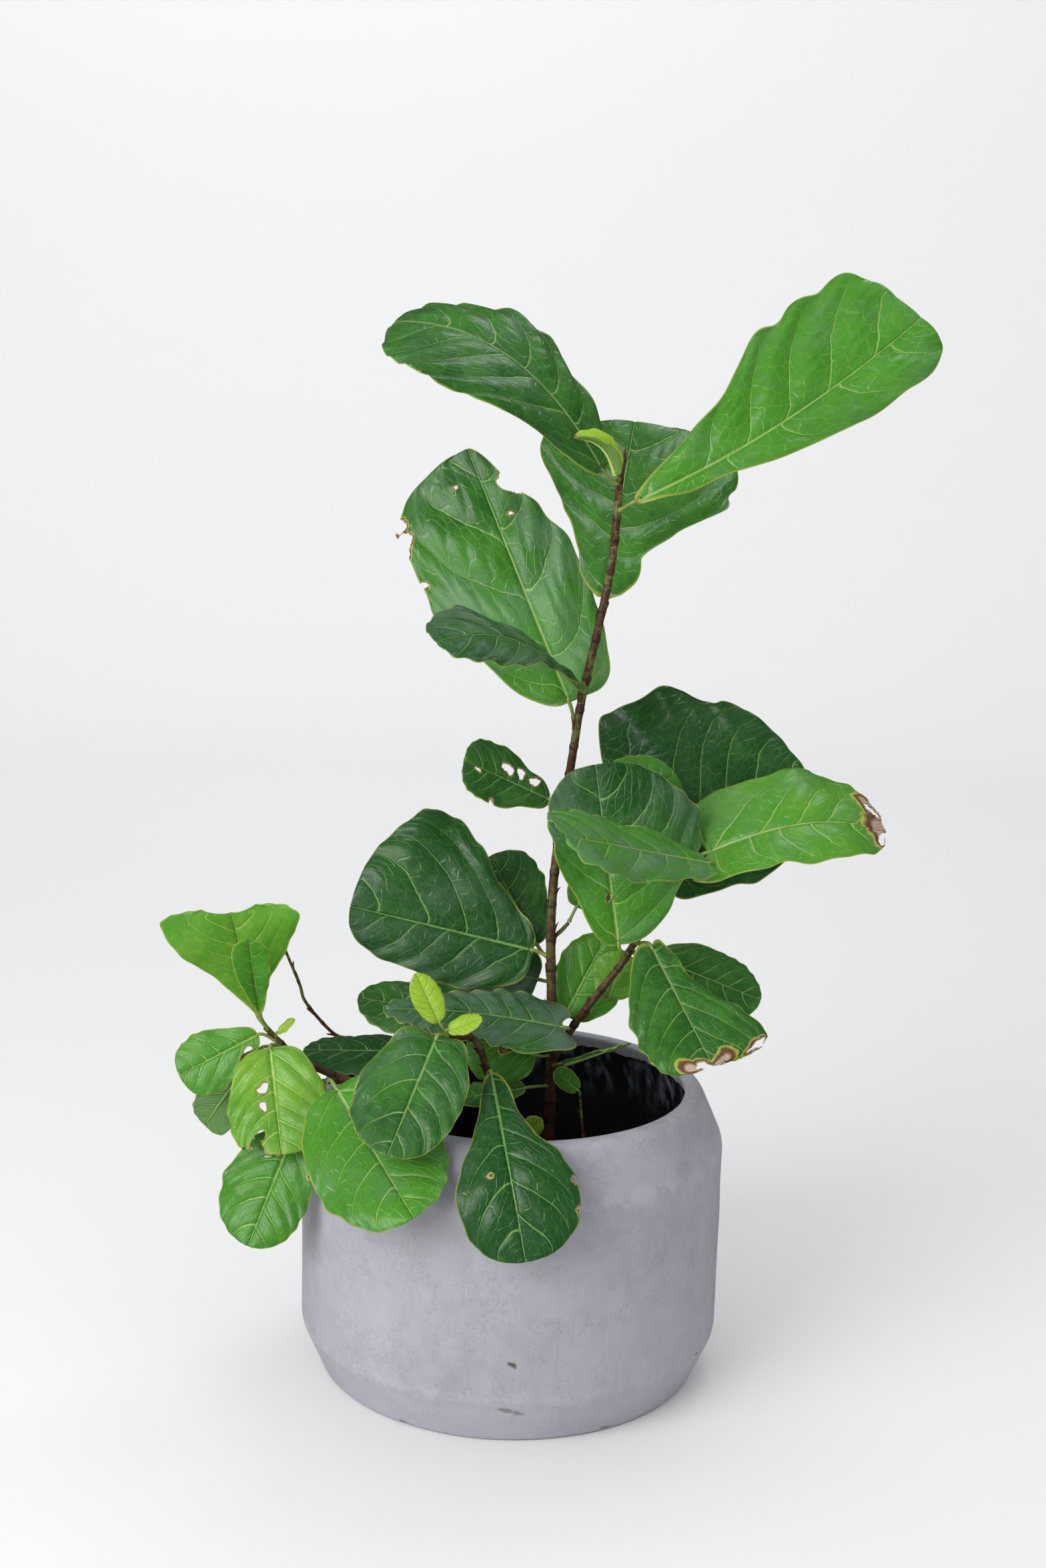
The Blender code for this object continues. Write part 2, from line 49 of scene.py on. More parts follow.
studio = {
    "floorColour": (0.85, 0.850, 0.848),
    "floorReach": 3.4,   # flat part, then a wide curve up to the wall
    "curve": 1.8,
    "wallTop": 3.8,
    "turns": 96,         # faces round the floor
    "curveSteps": 12,
    "rings": (0.6, 1.2, 2.2),
    "roughness": 0.85,
    "specular": 0.2,
    "sky": (0.975, 0.985, 1.0),
    "skyStrength": 0.77,
    "gloom": 0.06,       # what gloss reflects where there is no lamp
}

lamps = {
    "key": {"place": (-1.95, -2.20, 1.75), "size": 2.5, "power": 75.0, "colour": (1.0, 0.985, 0.96),
            "aim": (0.0, 0.0, 0.55)},
    "top": {"place": (0.5, 0.9, 2.6), "size": 1.0, "power": 8.0, "colour": (0.93, 0.96, 1.0),
            "aim": (0.0, 0.0, 0.55)},
    "wall": {"place": (-0.7, 2.3, 3.5), "size": 1.6, "power": 32.0, "colour": (0.96, 0.98, 1.0),
             "aim": (-0.1, 5.2, 2.2)},
}


def makeCamera():
    pitch, roll = math.radians(viewer["pitchDown"]), math.radians(viewer["roll"])
    forward = Vector((0.0, math.cos(pitch), -math.sin(pitch)))
    right = Vector((1.0, 0.0, 0.0))
    up = right.cross(forward)
    across = right * math.cos(roll) + up * math.sin(roll)
    upward = up * math.cos(roll) - right * math.sin(roll)
    camera = bpy.data.objects.new("viewer", bpy.data.cameras.new("viewer"))
    camera.data.lens = viewer["lens"]
    camera.data.sensor_width = viewer["sensor"]
    turn = Matrix((across, upward, -forward)).transposed().to_4x4()
    camera.matrix_world = Matrix.Translation(viewer["place"]) @ turn
    bpy.context.scene.collection.objects.link(camera)
    bpy.context.scene.camera = camera


def addLamp(name, place, size, power, colour, aim):
    light = bpy.data.lights.new(name, "AREA")
    light.shape = "DISK"
    light.size = size
    light.energy = power
    light.color = colour
    lamp = bpy.data.objects.new(name, light)
    lamp.location = place
    lamp.rotation_euler = (Vector(aim) - Vector(place)).to_track_quat("-Z", "Y").to_euler()
    lamp.visible_camera = False
    bpy.context.scene.collection.objects.link(lamp)


def makeStudio():
    reach, curve, top = studio["floorReach"], studio["curve"], studio["wallTop"]
    profile = [(radius, 0.0) for radius in (*studio["rings"], reach)]
    for step in range(studio["curveSteps"]):
        angle = math.pi / 2 * (step + 1) / studio["curveSteps"]
        profile.append((reach + curve * math.sin(angle), curve * (1.0 - math.cos(angle))))
    profile.append((reach + curve, top))
    floor = bpy.data.meshes.new("floor")
    turns = studio["turns"]
    points = [(r * math.cos(2 * math.pi * k / turns), r * math.sin(2 * math.pi * k / turns), z)
              for r, z in profile for k in range(turns)]
    faces = [[len(points), k, (k + 1) % turns] for k in range(turns)]
    for ring in range(len(profile) - 1):
        for k in range(turns):
            near, far = ring * turns, (ring + 1) * turns
            faces.append([near + (k + 1) % turns, near + k, far + k, far + (k + 1) % turns])
    floor.from_pydata(points + [(0.0, 0.0, 0.0)], [], faces)
    floor.shade_smooth()
    sweep = bpy.data.objects.new("floor", floor)
    bpy.context.scene.collection.objects.link(sweep)
    paper = bpy.data.materials.new("floor_paper")
    paper.use_nodes = True
    shader = paper.node_tree.nodes["Principled BSDF"]
    shader.inputs["Base Color"].default_value = (*studio["floorColour"], 1.0)
    shader.inputs["Roughness"].default_value = studio["roughness"]
    shader.inputs["Specular IOR Level"].default_value = studio["specular"]
    floor.materials.append(paper)
    world = bpy.data.worlds.new("studio")
    world.use_nodes = True
    backdrop = world.node_tree.nodes["Background"]
    backdrop.inputs["Color"].default_value = (*studio["sky"], 1.0)
    path = world.node_tree.nodes.new("ShaderNodeLightPath")
    level = world.node_tree.nodes.new("ShaderNodeMapRange")
    level.inputs["To Min"].default_value = studio["skyStrength"]
    level.inputs["To Max"].default_value = studio["gloom"]
    world.node_tree.links.new(path.outputs["Is Glossy Ray"], level.inputs["Value"])
    world.node_tree.links.new(level.outputs[0], backdrop.inputs["Strength"])
    sweep.visible_glossy = False
    bpy.context.scene.world = world
    bpy.context.scene.view_settings.view_transform = "Standard"
    for name, lamp in lamps.items():
        addLamp(name, **lamp)


makeCamera()
makeStudio()
print("camera and studio ready")


# Short ways to build shader trees start here.
def put(tree, kind, **settings):
    made = tree.nodes.new("ShaderNode" + kind)
    for name, value in settings.items():
        setattr(made, name, value)
    return made


def feed(tree, socket, value):
    if isinstance(value, bpy.types.NodeSocket):
        tree.links.new(value, socket)
    elif isinstance(value, tuple) and len(value) == 3 and socket.type == "RGBA":
        socket.default_value = (*value, 1.0)
    else:
        socket.default_value = value


def calc(tree, what, *values, clamp=False):
    made = put(tree, "Math", operation=what, use_clamp=clamp)
    for socket, value in zip(made.inputs, values):
        feed(tree, socket, value)
    return made.outputs[0]


def times(tree, first, second):
    return calc(tree, "MULTIPLY", first, second)


def remap(tree, value, low, high, toLow=0.0, toHigh=1.0):
    made = put(tree, "MapRange", interpolation_type="SMOOTHSTEP")
    for socket, given in zip(made.inputs, (value, low, high, toLow, toHigh)):
        feed(tree, socket, given)
    return made.outputs[0]


def blendColours(tree, share, first, second, how="MIX"):
    made = put(tree, "Mix", data_type="RGBA", blend_type=how)
    feed(tree, made.inputs[0], share)
    feed(tree, made.inputs[6], first)
    feed(tree, made.inputs[7], second)
    return made.outputs[2]


# Lays another colour over the first one where the mask is, at a given strength.
def tinted(tree, colour, mask, strength, other):
    return blendColours(tree, times(tree, mask, strength), colour, other)


def cloud(tree, where, scale, detail=3.0, roughness=0.55):
    made = put(tree, "TexNoise")
    feed(tree, made.inputs["Vector"], where)
    for name, value in (("Scale", scale), ("Detail", detail), ("Roughness", roughness)):
        feed(tree, made.inputs[name], value)
    return made.outputs["Fac"]


def stretched(tree, where, scale):
    made = put(tree, "VectorMath", operation="MULTIPLY")
    feed(tree, made.inputs[0], where)
    made.inputs[1].default_value = scale
    return made.outputs[0]


def carried(tree, name):
    # three numbers kept on the mesh come back as three sockets
    made = put(tree, "Attribute", attribute_name=name)
    parts = put(tree, "SeparateXYZ")
    tree.links.new(made.outputs["Vector"], parts.inputs[0])
    return parts.outputs[:]


def newGroup(name, inputs, outputs):
    tree = bpy.data.node_groups.new(name, "ShaderNodeTree")
    for label, kind, value in inputs:
        socket = tree.interface.new_socket(label, in_out="INPUT", socket_type="NodeSocket" + kind)
        if value is not None:
            socket.default_value = value
    for label in outputs:
        tree.interface.new_socket(label, in_out="OUTPUT", socket_type="NodeSocketFloat")
    return tree, tree.nodes.new("NodeGroupInput").outputs, tree.nodes.new("NodeGroupOutput").inputs


def useGroup(tree, group, **values):
    made = tree.nodes.new("ShaderNodeGroup")
    made.node_tree = group
    for name, value in values.items():
        feed(tree, made.inputs[name], value)
    return made.outputs


def newMaterial(name):
    made = bpy.data.materials.new(name)
    made.use_nodes = True
    tree = made.node_tree
    return made, tree, tree.nodes["Principled BSDF"], put(tree, "TexCoord").outputs["Object"]


def emboss(tree, shader, height, depth):
    bump = put(tree, "Bump")
    bump.inputs["Strength"].default_value = 1.0
    bump.inputs["Distance"].default_value = depth
    feed(tree, bump.inputs["Height"], height)
    tree.links.new(bump.outputs[0], shader.inputs["Normal"])


# Wide soft patches with finer ones in them, from 0 to 1.
def makeDrift():
    tree, given, out = newGroup("softPatches", [("where", "Vector", None), ("scale", "Float", 10.0)],
                                ["patches"])
    wide = cloud(tree, given["where"], given["scale"], 2.0)
    fine = cloud(tree, given["where"], times(tree, given["scale"], 4.7), 4.0, 0.6)
    both = calc(tree, "MULTIPLY_ADD", fine, 0.4, times(tree, wide, 0.6))
    feed(tree, out["patches"], remap(tree, both, 0.32, 0.68))
    return tree


# Dust that lies in blotches with small specks, from 0 to amount; on leaves it also lays a painted sheen.
def makeDust():
    tree, given, out = newGroup("dust", [("where", "Vector", None), ("scale", "Float", 30.0),
                                         ("amount", "Float", 0.5)], ["dust"])
    blotch = remap(tree, cloud(tree, given["where"], given["scale"], 5.0, 0.65), 0.40, 0.66)
    specks = cloud(tree, given["where"], times(tree, given["scale"], 24.0), 2.0)
    speck = remap(tree, specks, 0.58, 0.70)
    both = calc(tree, "MAXIMUM", blotch, times(tree, speck, 0.7))
    feed(tree, out["dust"], times(tree, both, given["amount"]))
    return tree


# Small round pits or grains: mask 1 inside them.
def makePits():
    tree, given, out = newGroup("pits", [("where", "Vector", None), ("scale", "Float", 200.0),
                                         ("size", "Float", 0.25)], ["pits"])
    spots = put(tree, "TexVoronoi")
    feed(tree, spots.inputs["Vector"], given["where"])
    feed(tree, spots.inputs["Scale"], given["scale"])
    areas = cloud(tree, given["where"], times(tree, given["scale"], 0.12), 2.0)
    thin = remap(tree, areas, 0.45, 0.60)
    reach = times(tree, given["size"], thin)
    depth = calc(tree, "SUBTRACT", reach, spots.outputs["Distance"])
    feed(tree, out["pits"], remap(tree, depth, 0.0, 0.12))
    return tree


# The rib, the side veins and the net between them, from how far along and out a spot of the blade is.
def makeVeinWork():
    tree, given, out = newGroup(
        "veinWork",
        [("phase", "Float", 0.0), ("pitch", "Float", 0.03), ("reach", "Float", 0.0), ("rim", "Float", 0.0),
         ("along", "Float", 0.0), ("where", "Vector", None), ("ribWidth", "Float", 0.0016),
         ("sideWidth", "Float", 0.0008), ("netScale", "Float", 1.0)],
        ["rib", "veins", "net", "height"])
    wobble = times(tree, calc(tree, "SUBTRACT", cloud(tree, given["where"], 55.0, 2.0), 0.5), 0.16)
    phase = calc(tree, "ADD", given["phase"], wobble)
    away = times(tree, calc(tree, "PINGPONG", phase, 0.5), given["pitch"])
    off = calc(tree, "ABSOLUTE", given["reach"])
    slim = remap(tree, given["pitch"], 0.003, 0.030, 0.32, 1.0)
    ribHalf = times(tree, times(tree, given["ribWidth"], slim),
                   remap(tree, given["along"], 1.05, -0.1, 0.25, 1.0))
    rib = remap(tree, off, times(tree, ribHalf, 1.25), times(tree, ribHalf, 0.55))
    ribGroove = remap(tree, off, times(tree, ribHalf, 4.5), 0.0)
    sideHalf = times(tree, times(tree, given["sideWidth"], slim),
                     remap(tree, given["rim"], 1.0, 0.0, 0.30, 1.0))
    side = remap(tree, away, times(tree, sideHalf, 1.4), times(tree, sideHalf, 0.4))
    side = times(tree, side, remap(tree, given["rim"], 0.97, 0.80))
    groove = times(tree, remap(tree, away, times(tree, sideHalf, 6.0), 0.0),
                  remap(tree, given["rim"], 1.0, 0.7))
    # ladder-like net: cells lie along the side veins
    spot = put(tree, "CombineXYZ")
    feed(tree, spot.inputs[0], times(tree, phase, 4.2))
    feed(tree, spot.inputs[1], times(tree, given["reach"], 105.0))
    cells = put(tree, "TexVoronoi", voronoi_dimensions="2D", feature="DISTANCE_TO_EDGE")
    feed(tree, cells.inputs["Vector"], spot.outputs[0])
    feed(tree, cells.inputs["Scale"], given["netScale"])
    net = remap(tree, cells.outputs["Distance"], 0.085, 0.01)
    small = put(tree, "TexVoronoi", feature="DISTANCE_TO_EDGE")
    feed(tree, small.inputs["Vector"], given["where"])
    feed(tree, small.inputs["Scale"], 620.0)
    fine = remap(tree, small.outputs["Distance"], 0.10, 0.0)
    netBoth = calc(tree, "MAXIMUM", net, times(tree, fine, 0.35))
    feed(tree, out["rib"], rib)
    feed(tree, out["veins"], side)
    feed(tree, out["net"], netBoth)
    down = calc(tree, "ADD", times(tree, ribGroove, 0.9), times(tree, groove, 0.55))
    feed(tree, out["height"], calc(tree, "SUBTRACT", times(tree, netBoth, -0.20), down))
    return tree


drift, dust, pits, veinWork = makeDrift(), makeDust(), makePits(), makeVeinWork()

leafSkin = {
    "old": (0.0080, 0.068, 0.0100),
    "middle": (0.060, 0.270, 0.013),
    "fresh": (0.340, 0.570, 0.030),
    "underside": (0.11, 0.24, 0.06),
    "oldVein": (0.20, 0.38, 0.11),
    "freshVein": (0.55, 0.70, 0.20),
    "dustSheen": (0.16, 0.24, 0.19),
    # dust and a painted sheen: a bluish grey film laid over the blade
    "margin": (0.42, 0.45, 0.07),
    "dry": (0.16, 0.070, 0.022),
    "paper": (0.56, 0.42, 0.31),
    "stalk": (0.22, 0.34, 0.07),
    "roughness": 0.17,
    "specular": 0.55,
    "reliefDepth": 0.0010,
    "netShare": 0.15,    # how much of the vein's colour the net takes
    "sideShare": 0.80,
    "ribShare": 0.85,
    "marginShare": 0.65,
    "underShare": 0.75,
    "grain": 0.06,
}


def makeLeafMaterial(name, sideWidth, dustSheenAmount):
    look = leafSkin
    made, tree, shader, where = newMaterial(name)
    phase, pitch, reach = carried(tree, "veins")
    rim, along, burnt = carried(tree, "edges")
    fresh, dustAndSheen, under = carried(tree, "age")
    veins = useGroup(tree, veinWork, phase=phase, pitch=pitch, reach=reach, rim=rim, along=along,
                     where=where, sideWidth=sideWidth)
    patches = useGroup(tree, drift, where=where, scale=22.0)["patches"]
    dustSheenShare = times(tree, dustAndSheen, dustSheenAmount)
    film = useGroup(tree, dust, where=where, scale=16.0, amount=dustSheenShare)["dust"]
    # green by age and in soft patches, with the net and the veins paler
    youth = calc(tree, "MULTIPLY_ADD", calc(tree, "SUBTRACT", patches, 0.5), 0.16, fresh)
    green = blendColours(tree, remap(tree, youth, 0.0, 0.5), look["old"], look["middle"])
    green = blendColours(tree, remap(tree, youth, 0.45, 1.0), green, look["fresh"])
    veinColour = blendColours(tree, fresh, look["oldVein"], look["freshVein"])
    green = tinted(tree, green, veins["net"], look["netShare"], veinColour)
    # dust, partly a painted sheen: the film lightens the green towards bluish grey
    green = blendColours(tree, film, green, look["dustSheen"])
    green = tinted(tree, green, veins["veins"], look["sideShare"], veinColour)
    green = tinted(tree, green, veins["rib"], look["ribShare"], veinColour)
    # a thin paler line along the margin
    toEdge = times(tree, calc(tree, "ABSOLUTE", reach), calc(tree, "SUBTRACT", 1.0, rim))
    margin = times(tree, remap(tree, toEdge, 0.0014, 0.0003), remap(tree, rim, 0.6, 0.8))
    green = tinted(tree, green, margin, look["marginShare"], look["margin"])
    pale = tinted(tree, look["underside"], veins["veins"], 0.7, veinColour)
    pale = blendColours(tree, veins["rib"], pale, veinColour)
    green = tinted(tree, green, under, look["underShare"], pale)
    # dry spots: a yellow edge, then brown, then papery
    ragged = calc(tree, "MULTIPLY_ADD", calc(tree, "SUBTRACT", patches, 0.5), 0.35, burnt)
    green = blendColours(tree, remap(tree, ragged, 0.30, 0.42), green, look["margin"])
    dead = blendColours(tree, remap(tree, ragged, 0.72, 0.95), look["dry"], look["paper"])
    green = blendColours(tree, remap(tree, ragged, 0.42, 0.60), green, dead)
    onStalk = remap(tree, along, -0.005, -0.02)
    stalkColour = tinted(tree, look["stalk"], patches, 0.35, look["dry"])
    feed(tree, shader.inputs["Base Color"], blendColours(tree, onStalk, green, stalkColour))
    rough = calc(tree, "MULTIPLY_ADD", patches, 0.12, look["roughness"])
    rough = calc(tree, "MULTIPLY_ADD", film, 0.35, rough)
    rough = calc(tree, "MULTIPLY_ADD", under, 0.25, rough)
    rough = calc(tree, "MULTIPLY_ADD", remap(tree, burnt, 0.3, 0.6), 0.3, rough, clamp=True)
    feed(tree, shader.inputs["Roughness"], rough)
    shader.inputs["Specular IOR Level"].default_value = look["specular"]
    grain = times(tree, cloud(tree, where, 900.0, 3.0), look["grain"])
    # what is sunken above stands out below
    turnedOver = calc(tree, "MULTIPLY_ADD", under, -2.6, 1.0)
    relief = calc(tree, "MULTIPLY_ADD", veins["height"], turnedOver, grain)
    emboss(tree, shader, relief, look["reliefDepth"])
    return made


# Sizes below come from the model's own design table, so each leaf lies on its solid.
petioleRadius = 0.0019
bladeThickness = 0.0010

stems = {
    "main_stem": [
        [(0.036, 0.010, 0.095, 0.0075), (0.035, 0.004, 0.200, 0.0068), (0.034, 0.000, 0.290, 0.0062),
         (0.033, 0.000, 0.356, 0.0058), (0.030, 0.005, 0.437, 0.0055), (0.035, 0.010, 0.511, 0.0052),
         (0.043, 0.010, 0.571, 0.0049), (0.052, 0.010, 0.641, 0.0047), (0.064, 0.010, 0.701, 0.0046),
         (0.076, 0.010, 0.774, 0.0046), (0.080, 0.010, 0.842, 0.0040), (0.083, 0.011, 0.858, 0.0024),
         (0.084, 0.012, 0.872, 0.0008)],
        [(0.035, 0.001, 0.296, 0.0045), (0.043, -0.004, 0.312, 0.0050), (0.057, -0.003, 0.335, 0.0046),
         (0.075, -0.002, 0.361, 0.0045), (0.099, 0.000, 0.394, 0.0042), (0.119, 0.002, 0.431, 0.0042),
         (0.141, 0.004, 0.469, 0.0040), (0.156, 0.006, 0.497, 0.0036)],
        [(0.030, 0.005, 0.412, 0.0024), (0.040, 0.010, 0.420, 0.0026), (0.047, 0.014, 0.427, 0.0022)],
    ],
    "front_stem": [
        [(-0.008, -0.048, 0.095, 0.0060), (-0.012, -0.060, 0.200, 0.0054), (-0.020, -0.078, 0.285, 0.0046),
         (-0.025, -0.088, 0.313, 0.0042), (-0.035, -0.100, 0.343, 0.0038), (-0.047, -0.108, 0.351, 0.0035),
         (-0.062, -0.117, 0.354, 0.0030)],
    ],
    "left_stem": [
        [(-0.080, -0.010, 0.095, 0.0064), (-0.098, -0.016, 0.200, 0.0058), (-0.130, -0.028, 0.262, 0.0052),
         (-0.150, -0.034, 0.279, 0.0048), (-0.180, -0.036, 0.291, 0.0044), (-0.208, -0.036, 0.306, 0.0040),
         (-0.234, -0.034, 0.331, 0.0032)],
        [(-0.096, -0.015, 0.190, 0.0016), (-0.112, 0.014, 0.235, 0.0024), (-0.134, 0.052, 0.277, 0.0023),
         (-0.156, 0.064, 0.290, 0.0022), (-0.178, 0.063, 0.295, 0.0021), (-0.206, 0.060, 0.327, 0.0020),
         (-0.213, 0.058, 0.348, 0.0019), (-0.229, 0.055, 0.387, 0.0017)],
        [(-0.150, -0.034, 0.278, 0.0028), (-0.166, -0.048, 0.285, 0.0034), (-0.182, -0.058, 0.285, 0.0032),
         (-0.196, -0.066, 0.270, 0.0026)],
        [(-0.102, -0.018, 0.210, 0.0028), (-0.088, -0.004, 0.255, 0.0028), (-0.074, 0.005, 0.282, 0.0022)],
    ],
    "soil_shoot": [
        [(0.072, -0.035, 0.110, 0.0020), (0.069, -0.034, 0.200, 0.0018), (0.062, -0.028, 0.272, 0.0014)],
    ],
}

broad = (0.75, 0.36, 0.10)
fiddle = (0.95, 0.36, 0.16)
rounded = (0.55, 0.45, 0.0)
wedge = (0.95, 0.24, 0.05)
bud = (0.65, 0.60, 0.0)

